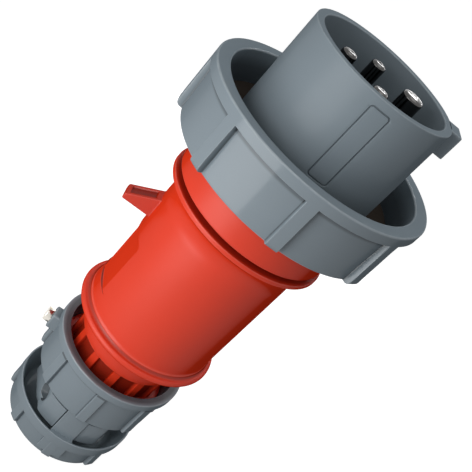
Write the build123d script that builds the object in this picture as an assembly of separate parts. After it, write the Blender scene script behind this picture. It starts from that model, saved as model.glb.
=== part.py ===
"""Industrial pin and sleeve plug, four pins, watertight, with a turning bayonet ring.

The plug stands on the rear ring of its cable gland. Z runs along the plug, from the cable
end at Z = 0 up to the mating face. The key of the sleeve and the earth pin lie on +X, the
retaining nose of the handle lies on -X. Every size is in millimetres.
"""
import os
from math import asin, cos, degrees, pi, radians, sin

from build123d import *

# Fits
FIT = 0.1            # gap between pieces that are fastened together
RUN = 0.3            # gap between pieces that turn or slide on each other
SEAT = 0.02          # gap between faces that are clamped together

# Lengths along the plug, from the cable end upwards
REAR_RING_H = 12.7   # ring at the cable end of the gland nut
WINDOW_H = 12.2      # open windows that show the clamp jaws
NUT_H = 18.1         # threaded body of the gland nut
NECK_H = 14.0        # from the mouth of the nut to the flange of the handle
HANDLE_H = 57.5      # handle from its rear flange to its front lip
PARTING_H = 1.5      # dark groove between handle and collar
COLLAR_H = 18.3      # collar from the groove to the flange of the sleeve
RING_H = 20.85       # bayonet ring
SLEEVE_REACH = 24.65     # sleeve standing out of the bayonet ring

# Sleeve with its contacts
SLEEVE_R = 25.0
SLEEVE_WALL = 2.7
SLEEVE_DEPTH = 42.0  # from the mating face to the floor
FLOOR_T = 5.0
MOUTH_CHAMFER = 0.4
KEY_W = 7.8
KEY_PROUD = 3.5
KEY_LEN = 8.4
PLATE_LEN = 25.4     # engraved frame of the bare name field
PLATE_W = 6.3
PLATE_LINE = 0.45
PLATE_DEPTH = 0.3
PLATE_START = 2.8    # below the mating face
PIN_PITCH = 0.44     # pitch circle of the pins, as a share of the sleeve's radius
PHASE_PIN_R = 2.5
EARTH_PIN_R = 3.5
PHASE_TIP_BELOW = 1.9    # phase tips below the mating face
EARTH_TIP_BELOW = 0.2
PIN_TIP_ROUND = 1.1
PIN_RELIEF_H = 0.6   # turned groove at the foot of each pin, just above the floor
PIN_RELIEF_DEPTH = 0.3
TERMINAL_WALL = 1.3  # terminal barrel outside the radius of its pin
TERMINAL_LEN = 20.0
WIRE_HOLE_WALL = 1.0
WIRE_HOLE_DEPTH = 13.0
TERMINAL_SCREW_R = 1.6
TERMINAL_SCREW_OUT = 2.0
TERMINAL_SCREW_UP = 6.0  # above the rear end of the terminal
SCREW_HEAD_ROUND = 0.35

# Flange, gasket and the parts behind the floor
FLANGE_PROUD = 8.5   # flange outside the sleeve
FLANGE_CLEAR = 1.4   # flange inside the bore of the bayonet ring
FLANGE_T = 2.5
GASKET_BACK = 0.9    # gasket inside the edge of the flange
GASKET_T = 2.6
GASKET_ROUND = 0.6
BLOCK_WALL = 1.2     # block that holds the terminals, outside the earth terminal
BLOCK_MARGIN = 1.0
BLOCK_SCREW_R = 1.5
SKIRT_REACH = 6.1    # sleeve below its floor, inside the collar
INSERT_SCREW_R = 1.5
INSERT_HEAD_ROOM = 0.35  # head of the screw clear of the block and of the collar's plug
INSERT_HEAD_T = 2.2
SCREW_TIP_GAP = 0.5  # screws end this far short of their holes' ends

# Collar
COLLAR_WALL = 2.8
COLLAR_WEB_T = 3.0
COLLAR_EDGE_ROUND = 0.5
COLLAR_PLUG_BACK = 0.3   # part that plugs into the handle's lip, inside the sleeve's radius
COLLAR_PLUG_WALL = 1.9
COLLAR_PLUG_LEN = 3.4
COLLAR_GUIDE_LEN = 8.0   # thin tube below it, inside the bore of the handle
COLLAR_GUIDE_WALL = 1.3
SNAP_BEAD_PROUD = 0.7
SNAP_BEAD_H = 1.4
ORING_R = 0.7

# Bayonet ring
RING_WALL = 4.8
RING_PANEL_DROP = 1.7    # panels below the band
RING_PANEL_TAPER = 0.6
RING_BAND_H = 3.5    # smooth band at the front of the ring
RING_RIBS = 8
RING_RIB_W = 4.2
RING_RIB_ROUND = 0.35
RING_RIB_FOOT_ROUND = 1.6
RING_SKIRT = 2.0     # ring behind its web
RING_WEB_T = 3.0
RING_EDGE_ROUND = 0.6
RING_COVE = 1.5      # fillet between the web and the bore
RAMP_PROUD = 2.8     # two ramps that draw the socket's studs in
RAMP_T = 3.0
RAMP_SPAN_DEG = 64.0
RAMP_TILT_DEG = 5.0
RAMP_DROP = 4.6      # below the front face of the ring

# Handle
LIP_WALL = 4.0       # lip outside the collar's plug
LIP_H = 2.0
LIP_STEP = 0.9       # step from the lip back to the hollow under it
HANDLE_FRONT_R = 24.4
HANDLE_TAPER = 0.4   # the grip is this much thinner at its rear
HANDLE_WALL = 2.6
COVE_H = 8.5         # hollow flare under the front lip
COVE_BELLY = 0.3     # share of the cove's depth left at COVE_BELLY_H of its height
COVE_BELLY_H = 0.36
BEAD_PROUD = 2.5     # rear bead outside the grip
BEAD_H = 2.4
BEAD_SHOULDER = 1.0  # the bead's round begins this far inside its radius
FOOT_RIDGE_H = 1.4   # thin ridge and hollow between the grip and the bead
FOOT_RIDGE = 0.3
NOSE_PROUD = 10.0
NOSE_W = 6.6
NOSE_UP = 36.4       # lower face of the nose above the handle's rear
NOSE_TIP_H = 2.0
NOSE_BASE_H = 8.3
NOSE_EDGE = 0.4
TROUGH_W = 4.2       # shallow trough along the sloping front of the nose
TROUGH_DEPTH = 0.6
TROUGH_END = 1.2     # trough short of the tip, and of the grip
FLAT_START = 9.0     # two shallow flats in line with the nose
FLAT_LEN = 20.5
FLAT_HALF_DEG = 13.5
FLAT_RIDGE_DROP = 0.06
SHORT_CYL_R = 19.0
SHORT_CYL_H = 10.2
SPIGOT_FLOOR_R = 16.9
SPIGOT_BORE_R = 15.2
SPIGOT_RIBS = 12
SPIGOT_RIB_W = 3.0
SPIGOT_RIB_PROUD = 1.5
SPIGOT_RIB_ROOT = 1.0    # ribs rooted this deep in the spigot
THREAD_R = 20.6
THREAD_H = 6.0

# Gland nut
NUT_R = 24.6
NUT_MOUTH_R = 21.3
NUT_PANEL_R = 23.1
NUT_RIB_R = 24.3
NUT_BAND_H = 2.9
NUT_RIBS = 8
NUT_RIB_W = 3.5
NUT_RIB_SHORT = 0.4  # ribs end above the foot of the nut
RIB_ROOT = 1.2       # ribs rooted this deep below the panels
RIB_FOOT_ROUND = 0.9
PANEL_TAPER = 0.3    # panels lean in towards the cable end
NUT_FLOOR_T = 2.5
NUT_FLOOR_BORE_R = 12.0
NUT_EDGE_ROUND = 0.4
MOUTH_H = 2.0        # plain mouth above the thread
MOUTH_CONE_H = 1.0
BRIDGE_R = 21.5
BRIDGE_T = 2.3
BRIDGE_DEG = 23.0
REAR_R = 23.3
REAR_PANEL_R = 21.8
REAR_BAND_H = 4.0
REAR_RIB_SHORT = 1.3
REAR_RIM_T = 0.6
REAR_EDGE_ROUND = 0.8
REAR_INNER_R = 18.5
REAR_FLOOR_T = 3.2
CABLE_HOLE_R = 11.0
BOSS_REACH = 26.5
BOSS_W = 5.8
BOSS_H = 6.2
BOSS_UP = 8.0        # above the foot of the threaded body
BOSS_ROOT = 1.0
BOSS_EDGE = 0.6
LOCK_HEAD_R = 2.7
LOCK_HEAD_T = 2.3
LOCK_SHANK_R = 1.3

# Seal and washer
SEAL_BORE_R = 6.0
SEAL_LEN = 13.0
SEAL_CONE = 2.5
SEAL_CONE_H = 3.0
WASHER_T = 1.2

# Strain relief
JAW_R = 18.0
JAW_OVERLAP = 1.4    # jaws reach down into the rear ring
JAW_SADDLE_R = 6.4
JAW_SPLIT = 0.8      # gap between the closed jaws
JAW_TEETH = 3
JAW_TOOTH_DEPTH = 1.0
JAW_TOOTH_H = 2.4
TAB_R = 20.9         # ears of the jaws, beside the bridges
TAB_DEG = 30.0
TAB_H = 10.1
TAB_BELOW = 2.0      # top of the ears below the top of the jaws
TAB_ROOT = 2.0
FACET_R = 16.9       # two flat facets of each jaw, from the axis
FACET_DEG = 20.0
CLAMP_SCREW_OFFSET = 13.2
CLAMP_SCREW_R = 1.9
CLAMP_HEAD_R = 2.8
CLAMP_HEAD_T = 2.6
CLAMP_SCREW_UP = 6.5     # above the foot of the jaws
CLAMP_HEAD_ROOM = 0.6    # counterbore outside the head
CLAMP_HEAD_SEAT = 8.6    # seat of the head from the middle plane
CLAMP_SCREW_END = 12.2
CLAMP_NUT_AF = 7.0
CLAMP_NUT_T = 3.2
CLAMP_NUT_SEAT = 6.6
SLOT_W = 0.9
SLOT_DEPTH = 0.8

# Heights that follow from the lengths
WINDOW_Z = REAR_RING_H
NUT_Z = WINDOW_Z + WINDOW_H
MOUTH_Z = NUT_Z + NUT_H
HANDLE_Z = MOUTH_Z + NECK_H
LIP_TOP_Z = HANDLE_Z + HANDLE_H
COLLAR_Z = LIP_TOP_Z + PARTING_H
FLANGE_Z = COLLAR_Z + COLLAR_H
WEB_TOP_Z = FLANGE_Z - RUN
RING_Z = WEB_TOP_Z - RING_WEB_T - RING_SKIRT
RING_TOP_Z = RING_Z + RING_H
TOP_Z = RING_TOP_Z + SLEEVE_REACH
FLOOR_TOP_Z = TOP_Z - SLEEVE_DEPTH
FLOOR_Z = FLOOR_TOP_Z - FLOOR_T
SKIRT_Z = FLOOR_Z - SKIRT_REACH
TERMINAL_Z = FLOOR_Z - TERMINAL_LEN

# Radii that follow from the sizes
COLLAR_R = SLEEVE_R + COLLAR_WALL
COLLAR_PLUG_R = SLEEVE_R - COLLAR_PLUG_BACK
LIP_R = COLLAR_PLUG_R + LIP_WALL
HANDLE_REAR_R = HANDLE_FRONT_R - HANDLE_TAPER
BEAD_R = HANDLE_REAR_R + BEAD_PROUD
NOSE_REACH = HANDLE_FRONT_R + NOSE_PROUD
FLANGE_R = SLEEVE_R + FLANGE_PROUD
GASKET_R = FLANGE_R - GASKET_BACK
RING_BORE_R = FLANGE_R + FLANGE_CLEAR
RING_R = RING_BORE_R + RING_WALL
RING_PANEL_R = RING_R - RING_PANEL_DROP
PIN_PITCH_R = SLEEVE_R * PIN_PITCH
BLOCK_R = PIN_PITCH_R + EARTH_PIN_R + TERMINAL_WALL + BLOCK_WALL
PLUG_IN_R = COLLAR_PLUG_R - COLLAR_PLUG_WALL
INSERT_SCREW_PITCH_R = (PLUG_IN_R + BLOCK_R + FIT) / 2
INSERT_HEAD_R = (PLUG_IN_R - BLOCK_R - FIT) / 2 - INSERT_HEAD_ROOM

PHASE_ANGLES = (90.0, 180.0, 270.0)
SCREW_ANGLES = (45.0, 225.0)
RAMP_ANGLES = (90.0, 270.0)
BRIDGE_ANGLES = (90.0, 270.0)
NAME_SIDE = -90.0    # side of the plug that carries the name field


def turned(points, sweep=360.0):
    """Turn a closed outline of (radius, height) or (radius, height, corner round) about Z."""
    face = make_face(Polyline(*[(p[0], p[1]) for p in points], close=True))
    for corner in points:
        if len(corner) == 3:
            here = Vector(corner[0], corner[1], 0)
            face = fillet(face.vertices().sort_by_distance(here)[0], corner[2])
    return revolve(Plane.XZ * face, Axis.Z, sweep)


def tube(r_in, r_out, z0, z1):
    """A plain tube, or a disc where the inner radius is nil."""
    body = Pos(0, 0, z0) * extrude(Circle(r_out), z1 - z0)
    if r_in > 0:
        body -= Pos(0, 0, z0 - 1) * extrude(Circle(r_in), z1 - z0 + 2)
    return body


def sector(r_in, r_out, middle, width, z0, z1):
    """A slice of a tube, width degrees wide about the middle angle."""
    outline = [(r_in, z0), (r_out, z0), (r_out, z1), (r_in, z1)]
    return Rot(0, 0, middle - width / 2) * turned(outline, width)


def rod_x(r, x0, x1, y, z):
    """A cylinder along X."""
    return Pos(x0, y, z) * Rot(0, 90, 0) * extrude(Circle(r), x1 - x0)


def span_deg(width, radius):
    """The angle that a width takes up on a circle."""
    return degrees(2 * asin(width / 2 / radius))


def contact_shroud():
    """Sleeve, contact floor, retaining flange and key, moulded as one piece."""
    inner = SLEEVE_R - SLEEVE_WALL
    body = turned([
        (inner, FLOOR_TOP_Z), (inner, TOP_Z, MOUTH_CHAMFER), (SLEEVE_R, TOP_Z, MOUTH_CHAMFER),
        (SLEEVE_R, FLANGE_Z + FLANGE_T), (FLANGE_R, FLANGE_Z + FLANGE_T), (FLANGE_R, FLANGE_Z),
        (SLEEVE_R - FIT, FLANGE_Z), (SLEEVE_R - FIT, SKIRT_Z), (BLOCK_R + FIT, SKIRT_Z),
        (BLOCK_R + FIT, FLOOR_Z), (0, FLOOR_Z), (0, FLOOR_TOP_Z),
    ])
    key_from = SLEEVE_R - SLEEVE_WALL / 2
    key_out = SLEEVE_R + KEY_PROUD
    key = Pos((key_from + key_out) / 2, 0, TOP_Z - KEY_LEN / 2) * Box(
        key_out - key_from, KEY_W, KEY_LEN)
    key = fillet(key.edges().filter_by(Axis.Z).group_by(Axis.X)[-1], MOUTH_CHAMFER)
    body += key
    body -= tube(0, inner, FLOOR_TOP_Z + 1, TOP_Z - MOUTH_CHAMFER)
    for radius, angle in pin_places():
        hole = Pos(PIN_PITCH_R, 0, FLOOR_Z - 1) * extrude(Circle(radius + SEAT), FLOOR_T + 2)
        body -= Rot(0, 0, angle) * hole
    for angle in SCREW_ANGLES:
        hole = Pos(INSERT_SCREW_PITCH_R, 0, SKIRT_Z - 1) * extrude(
            Circle(INSERT_SCREW_R + SEAT), SKIRT_REACH + 1)
        body -= Rot(0, 0, angle) * hole
    body -= Pos(0, 0, FLOOR_Z - 1) * extrude(
        Circle(BLOCK_SCREW_R + SEAT), FLOOR_T / 2 + SCREW_TIP_GAP + 1)
    return body - name_frame()


def name_frame():
    """The shallow engraved frame of the bare name field, on the side away from nose and key."""
    top = TOP_Z - PLATE_START
    bottom = top - PLATE_LEN
    width = span_deg(PLATE_W, SLEEVE_R)
    line = span_deg(PLATE_LINE, SLEEVE_R)
    deep = SLEEVE_R - PLATE_DEPTH
    proud = SLEEVE_R + 1
    frame = sector(deep, proud, NAME_SIDE, width, bottom, top)
    return frame - sector(deep - 1, proud + 1, NAME_SIDE, width - 2 * line,
                          bottom + PLATE_LINE, top - PLATE_LINE)


def pin_places():
    """Radius and angle of each contact pin, the earth pin first."""
    return [(EARTH_PIN_R, 0.0)] + [(PHASE_PIN_R, angle) for angle in PHASE_ANGLES]


def contact_pin(radius, angle, tip_below):
    """One turned contact: rounded pin, shoulder under the floor, drilled terminal barrel."""
    barrel = radius + TERMINAL_WALL
    tip = TOP_Z - tip_below
    shoulder = FLOOR_Z - SEAT
    relief = FLOOR_TOP_Z + PIN_RELIEF_H
    pin = turned([
        (0, tip), (radius, tip, PIN_TIP_ROUND), (radius, relief),
        (radius - PIN_RELIEF_DEPTH, relief), (radius - PIN_RELIEF_DEPTH, FLOOR_TOP_Z),
        (radius, FLOOR_TOP_Z), (radius, shoulder), (barrel, shoulder),
        (barrel, TERMINAL_Z), (0, TERMINAL_Z),
    ])
    wire = radius + TERMINAL_WALL - WIRE_HOLE_WALL
    pin -= Pos(0, 0, TERMINAL_Z - 1) * extrude(Circle(wire), WIRE_HOLE_DEPTH + 1)
    pin -= rod_x(TERMINAL_SCREW_R + SEAT, 0, barrel + 1, 0, TERMINAL_Z + TERMINAL_SCREW_UP)
    return Rot(0, 0, angle) * Pos(PIN_PITCH_R, 0, 0) * pin


def terminal_screws():
    """The four clamping screws of the terminals, set radially."""
    screws = []
    for radius, angle in pin_places():
        barrel = radius + TERMINAL_WALL
        z = TERMINAL_Z + TERMINAL_SCREW_UP
        start = PIN_PITCH_R + barrel - WIRE_HOLE_WALL
        screw = rod_x(TERMINAL_SCREW_R, start, PIN_PITCH_R + barrel + TERMINAL_SCREW_OUT, 0, z)
        end = PIN_PITCH_R + barrel + TERMINAL_SCREW_OUT
        screw -= Pos(end, 0, z) * Box(2 * SLOT_DEPTH, SLOT_W, 4 * TERMINAL_SCREW_R)
        screws.append(Rot(0, 0, angle) * screw)
    return Compound(screws)


def terminal_block():
    """Moulded block behind the floor, with a chamber for each terminal."""
    bottom = TERMINAL_Z - BLOCK_MARGIN
    block = tube(0, BLOCK_R, bottom, FLOOR_Z - SEAT)
    for radius, angle in pin_places():
        barrel = radius + TERMINAL_WALL + SEAT
        chamber = Pos(PIN_PITCH_R, 0, bottom - 1) * extrude(Circle(barrel), TERMINAL_LEN + BLOCK_MARGIN + 2)
        access = rod_x(TERMINAL_SCREW_R + FIT, PIN_PITCH_R, BLOCK_R + 1, 0,
                       TERMINAL_Z + TERMINAL_SCREW_UP)
        block -= Rot(0, 0, angle) * (chamber + access)
    head_z = bottom + INSERT_HEAD_T
    block -= Pos(0, 0, bottom - 1) * extrude(
        Circle(BLOCK_SCREW_R + FIT), TERMINAL_LEN + BLOCK_MARGIN + 2)
    block -= Pos(0, 0, bottom - 1) * extrude(Circle(INSERT_HEAD_R + FIT), head_z - bottom + 1)
    return block


def slotted_screw(shank_r, head_r, head_t, length):
    """A screw that points up from its head's seat at Z = 0, its head below."""
    screw = turned([(0, -head_t), (head_r, -head_t, SCREW_HEAD_ROUND), (head_r, 0), (shank_r, 0),
                    (shank_r, length), (0, length)])
    return screw - Pos(0, 0, -head_t) * Box(3 * head_r, SLOT_W, 2 * SLOT_DEPTH)


def block_screw():
    """The middle screw that draws the terminal block against the floor."""
    seat = TERMINAL_Z - BLOCK_MARGIN + INSERT_HEAD_T - SEAT
    reach = FLOOR_Z + FLOOR_T / 2 - seat
    return Pos(0, 0, seat) * slotted_screw(BLOCK_SCREW_R, INSERT_HEAD_R, INSERT_HEAD_T, reach)


def insert_screws():
    """Two screws that hold the sleeve in the collar."""
    seat = SKIRT_Z - COLLAR_WEB_T - 2 * SEAT
    reach = COLLAR_WEB_T + SKIRT_REACH - SCREW_TIP_GAP
    screw = slotted_screw(INSERT_SCREW_R, INSERT_HEAD_R, INSERT_HEAD_T, reach)
    return Compound([
        Rot(0, 0, angle) * Pos(INSERT_SCREW_PITCH_R, 0, seat) * screw for angle in SCREW_ANGLES
    ])


def shroud_gasket():
    """Flat rubber gasket on the flange, round the sleeve."""
    z0 = FLANGE_Z + FLANGE_T + SEAT
    return turned([(SLEEVE_R + SEAT, z0), (GASKET_R, z0), (GASKET_R, z0 + GASKET_T, GASKET_ROUND),
                   (SLEEVE_R + SEAT, z0 + GASKET_T, GASKET_ROUND)])


def front_collar():
    """Collar under the bayonet ring. It carries the sleeve and plugs into the handle."""
    foot = COLLAR_Z - PARTING_H - COLLAR_PLUG_LEN
    guide = HANDLE_REAR_R - HANDLE_WALL - FIT
    guide_in = guide - COLLAR_GUIDE_WALL
    guide_z = foot - COLLAR_GUIDE_LEN
    top = FLANGE_Z - SEAT
    bead_top = RING_Z + RING_SKIRT - RUN
    bead = COLLAR_R + SNAP_BEAD_PROUD
    web_z = SKIRT_Z - COLLAR_WEB_T - SEAT
    groove_z = foot + COLLAR_PLUG_LEN / 2
    groove_in = COLLAR_PLUG_R - 2 * ORING_R
    body = turned([
        (guide, guide_z), (guide, foot), (COLLAR_PLUG_R, foot), (COLLAR_PLUG_R, COLLAR_Z),
        (COLLAR_R, COLLAR_Z, COLLAR_EDGE_ROUND),
        (COLLAR_R, bead_top - SNAP_BEAD_H), (bead, bead_top - SNAP_BEAD_H / 2),
        (bead, bead_top), (COLLAR_R, bead_top), (COLLAR_R, top), (SLEEVE_R, top),
        (SLEEVE_R, SKIRT_Z - SEAT), (BLOCK_R + FIT, SKIRT_Z - SEAT), (BLOCK_R + FIT, web_z),
        (PLUG_IN_R, web_z), (PLUG_IN_R, foot + COLLAR_GUIDE_WALL), (guide_in, foot + COLLAR_GUIDE_WALL),
        (guide_in, guide_z),
    ])
    body -= tube(groove_in, COLLAR_PLUG_R + 1, groove_z - ORING_R, groove_z + ORING_R)
    for angle in SCREW_ANGLES:
        hole = Pos(INSERT_SCREW_PITCH_R, 0, web_z - 1) * extrude(
            Circle(INSERT_SCREW_R + FIT), COLLAR_WEB_T + 2)
        body -= Rot(0, 0, angle) * hole
    return body


def collar_oring():
    """O-ring between collar and handle."""
    z = COLLAR_Z - PARTING_H - COLLAR_PLUG_LEN / 2
    return Pos(0, 0, z) * Torus(COLLAR_PLUG_R + FIT - ORING_R, ORING_R - SEAT)


def bayonet_ring():
    """Coupling ring: band in front, panels between ribs, web that runs on the collar."""
    skirt_z = RING_Z + RING_SKIRT
    web_top = skirt_z + RING_WEB_T
    body = turned([
        (RING_BORE_R, RING_Z), (RING_PANEL_R - RING_PANEL_TAPER, RING_Z, RING_EDGE_ROUND),
        (RING_PANEL_R, RING_TOP_Z - RING_BAND_H), (RING_R, RING_TOP_Z - RING_BAND_H),
        (RING_R, RING_TOP_Z, RING_EDGE_ROUND), (RING_BORE_R, RING_TOP_Z, RING_EDGE_ROUND),
        (RING_BORE_R, web_top, RING_COVE), (COLLAR_R + RUN, web_top), (COLLAR_R + RUN, skirt_z),
        (RING_BORE_R, skirt_z),
    ])
    rib_top = RING_TOP_Z - RING_BAND_H / 2
    rib = Pos((RING_R + RING_BORE_R) / 2, 0, (RING_Z + rib_top) / 2) * Box(
        RING_R - RING_BORE_R - 2 * RUN, RING_RIB_W, rib_top - RING_Z)
    rib = fillet(rib.edges().filter_by(Axis.Z).group_by(Axis.X)[-1], RING_RIB_ROUND)
    foot = rib.edges().filter_by(Axis.Y).group_by(Axis.X)[-1].group_by(Axis.Z)[0]
    rib = fillet(foot, RING_RIB_FOOT_ROUND)
    rib &= tube(0, RING_R, RING_Z - 1, RING_TOP_Z)
    for i in range(RING_RIBS):
        body += Rot(0, 0, 360 / RING_RIBS * i) * rib
    for middle in RAMP_ANGLES:
        body += bayonet_ramp(middle)
    return body


def bayonet_ramp(middle):
    """A sloping cam inside the ring that pulls a stud of the socket inwards."""
    reach = RING_BORE_R + (RING_R - RING_BORE_R) / 2
    slope = Rot(0, 0, middle) * Pos(RING_BORE_R, 0, RING_TOP_Z - RAMP_DROP - RAMP_T) * Rot(
        RAMP_TILT_DEG, 0, 0)
    slab = slope * Box(4 * RAMP_PROUD, 3 * RING_BORE_R, RAMP_T)
    low = RING_TOP_Z - RAMP_DROP - 4 * RAMP_T
    high = RING_TOP_Z - RING_EDGE_ROUND
    return slab & sector(RING_BORE_R - RAMP_PROUD, reach, middle, RAMP_SPAN_DEG, low, high)


def handle_housing():
    """Handle with its lip, retaining nose, rear bead, short neck and threaded spigot."""
    bore = HANDLE_REAR_R - HANDLE_WALL
    socket = COLLAR_PLUG_R + FIT
    seat_z = LIP_TOP_Z - COLLAR_PLUG_LEN - SEAT
    neck_z = HANDLE_Z - SHORT_CYL_H
    thread_z = NUT_Z + NUT_FLOOR_T + WASHER_T + 2 * RUN
    rim_z = thread_z + THREAD_H
    outside = grip_outline()
    inside = Polyline(
        outside[-1] @ 1, (SHORT_CYL_R, HANDLE_Z), (SHORT_CYL_R, neck_z), (SPIGOT_FLOOR_R, neck_z),
        (SPIGOT_FLOOR_R, rim_z), (THREAD_R, rim_z), (THREAD_R, thread_z), (SPIGOT_BORE_R, thread_z),
        (SPIGOT_BORE_R, HANDLE_Z - HANDLE_WALL), (bore, HANDLE_Z + HANDLE_WALL),
        (bore, seat_z), (socket, seat_z), (socket, LIP_TOP_Z), (LIP_R, LIP_TOP_Z))
    body = revolve(Plane.XZ * make_face(Wire(outside + inside.edges())), Axis.Z)
    z0 = rim_z - SPIGOT_RIB_ROOT
    rib = Pos(SPIGOT_FLOOR_R + (SPIGOT_RIB_PROUD - SPIGOT_RIB_ROOT) / 2, 0, (z0 + neck_z) / 2) * Box(
        SPIGOT_RIB_PROUD + SPIGOT_RIB_ROOT, SPIGOT_RIB_W, neck_z - z0)
    for i in range(SPIGOT_RIBS):
        body += Rot(0, 0, 360 / SPIGOT_RIBS * i) * rib
    body += retaining_nose()
    for side_angle in (180 - FLAT_HALF_DEG, 180 + FLAT_HALF_DEG):
        body -= Rot(0, 0, side_angle) * handle_flat()
    return body


def grip_outline():
    """Outline of the handle's outside, from the lip over the cove and the grip to the bead."""
    lip_z = LIP_TOP_Z - LIP_H
    cove_r = LIP_R - LIP_STEP
    belly_r = HANDLE_FRONT_R + COVE_BELLY * (cove_r - HANDLE_FRONT_R)
    cove_z = lip_z - COVE_H
    bead_z = HANDLE_Z + BEAD_H
    ridge_z = bead_z + FOOT_RIDGE_H
    ridge_r = HANDLE_REAR_R + FOOT_RIDGE
    round_r = BEAD_R - BEAD_SHOULDER
    middle_r = ridge_r + (round_r - ridge_r) / 3
    return [
        Line((LIP_R, LIP_TOP_Z), (LIP_R, lip_z)),
        Line((LIP_R, lip_z), (cove_r, lip_z)),
        ThreePointArc((cove_r, lip_z), (belly_r, lip_z - COVE_H * COVE_BELLY_H),
                      (HANDLE_FRONT_R, cove_z)),
        Line((HANDLE_FRONT_R, cove_z), (HANDLE_REAR_R, ridge_z)),
        Line((HANDLE_REAR_R, ridge_z), (ridge_r, ridge_z)),
        ThreePointArc((ridge_r, ridge_z), (middle_r, bead_z + FOOT_RIDGE), (round_r, bead_z)),
        ThreePointArc((round_r, bead_z), (BEAD_R, HANDLE_Z + BEAD_H / 2), (round_r, HANDLE_Z)),
    ]


def handle_flat():
    """Cutter of one shallow flat of the handle, on +X. The two flats meet in a low ridge."""
    chord = (HANDLE_REAR_R - FLAT_RIDGE_DROP) * cos(radians(FLAT_HALF_DEG))
    depth = BEAD_R - chord
    z0 = HANDLE_Z + FLAT_START
    return Pos(chord + depth / 2, 0, z0 + FLAT_LEN / 2) * Box(depth, HANDLE_REAR_R, FLAT_LEN)


def retaining_nose():
    """The nose that the lid of the socket hooks behind. Its sloping front carries a trough."""
    root = HANDLE_REAR_R - HANDLE_WALL / 2
    z0 = HANDLE_Z + NOSE_UP
    tip_z = z0 + NOSE_TIP_H
    points = [(root, z0), (NOSE_REACH, z0), (NOSE_REACH, tip_z), (root, z0 + NOSE_BASE_H)]
    face = make_face(Polyline(*points, close=True))
    nose = Pos(0, NOSE_W / 2, 0) * extrude(Plane.XZ * face, NOSE_W)
    nose = chamfer(nose.edges().group_by(Axis.X)[-1], NOSE_EDGE)
    slope = (NOSE_BASE_H - NOSE_TIP_H) / (NOSE_REACH - root)
    far, near = NOSE_REACH - TROUGH_END, HANDLE_FRONT_R + TROUGH_END
    floor = [(r, tip_z + slope * (NOSE_REACH - r) - TROUGH_DEPTH) for r in (far, near)]
    over = [(r, z + 2 * TROUGH_DEPTH) for r, z in reversed(floor)]
    trough = make_face(Polyline(*floor, *over, close=True))
    nose -= Pos(0, TROUGH_W / 2, 0) * extrude(Plane.XZ * trough, TROUGH_W)
    return Rot(0, 0, 180) * nose


def cable_seal():
    """Rubber grommet that grips the cable inside the spigot."""
    z0 = NUT_Z + NUT_FLOOR_T + WASHER_T + RUN
    z1 = z0 + SEAL_LEN
    outer = SPIGOT_BORE_R - SEAT
    return turned([
        (SEAL_BORE_R, z0), (outer, z0), (outer, z1 - SEAL_CONE_H), (outer - SEAL_CONE, z1),
        (SEAL_BORE_R, z1),
    ])


def thrust_washer():
    """Washer on the floor of the nut, under the seal and the spigot."""
    z0 = NUT_Z + NUT_FLOOR_T + SEAT
    return tube(NUT_FLOOR_BORE_R, THREAD_R - FIT, z0, z0 + WASHER_T - SEAT)


def gland_nut():
    """Gland nut: threaded body, two bridges and the rear ring that the plug stands on."""
    bore = THREAD_R + RUN
    body = turned([
        (NUT_FLOOR_BORE_R, NUT_Z), (NUT_PANEL_R - PANEL_TAPER, NUT_Z, NUT_EDGE_ROUND),
        (NUT_PANEL_R, MOUTH_Z - NUT_BAND_H), (NUT_R, MOUTH_Z - NUT_BAND_H),
        (NUT_R, MOUTH_Z, NUT_EDGE_ROUND), (NUT_MOUTH_R, MOUTH_Z, NUT_EDGE_ROUND),
        (NUT_MOUTH_R, MOUTH_Z - MOUTH_H), (bore, MOUTH_Z - MOUTH_H - MOUTH_CONE_H),
        (bore, NUT_Z + NUT_FLOOR_T),
        (NUT_FLOOR_BORE_R, NUT_Z + NUT_FLOOR_T),
    ])
    body += ribs(NUT_RIBS, NUT_RIB_W, NUT_RIB_R, NUT_PANEL_R - RIB_ROOT, NUT_Z + NUT_RIB_SHORT,
                 MOUTH_Z - NUT_BAND_H / 2)
    inner = BRIDGE_R - BRIDGE_T
    for middle in BRIDGE_ANGLES:
        body += sector(inner, BRIDGE_R, middle, BRIDGE_DEG, WINDOW_Z - 1.0, NUT_Z + 1.0)
    body += rear_ring(inner)
    boss_z = NUT_Z + BOSS_UP
    boss_in = NUT_PANEL_R - BOSS_ROOT
    boss = Pos(-(BOSS_REACH + boss_in) / 2, 0, boss_z + BOSS_H / 2) * Box(
        BOSS_REACH - boss_in, BOSS_W, BOSS_H)
    boss = chamfer(boss.edges().group_by(Axis.X)[0], BOSS_EDGE)
    body += boss
    body -= rod_x(LOCK_SHANK_R + FIT, -BOSS_REACH - 1, -bore - BOSS_ROOT / 2, 0,
                  boss_z + BOSS_H / 2)
    return body


def rear_ring(bridge_inner):
    """Ring at the cable end, with a funnel inside and a land under each bridge."""
    ring = turned([
        (CABLE_HOLE_R, 0, REAR_EDGE_ROUND), (REAR_PANEL_R - PANEL_TAPER, 0, REAR_EDGE_ROUND),
        (REAR_PANEL_R, REAR_RING_H - REAR_BAND_H), (REAR_R, REAR_RING_H - REAR_BAND_H),
        (REAR_R, REAR_RING_H), (REAR_R - REAR_RIM_T, REAR_RING_H),
        (REAR_INNER_R, REAR_FLOOR_T), (CABLE_HOLE_R, REAR_FLOOR_T, REAR_EDGE_ROUND),
    ])
    ring += ribs(NUT_RIBS, NUT_RIB_W, REAR_R - FIT, REAR_PANEL_R - RIB_ROOT, REAR_RIB_SHORT,
                 REAR_RING_H - REAR_BAND_H / 2)
    for middle in BRIDGE_ANGLES:
        ring += sector(bridge_inner, REAR_R - FIT, middle, BRIDGE_DEG, REAR_FLOOR_T, REAR_RING_H)
    return ring


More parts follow.
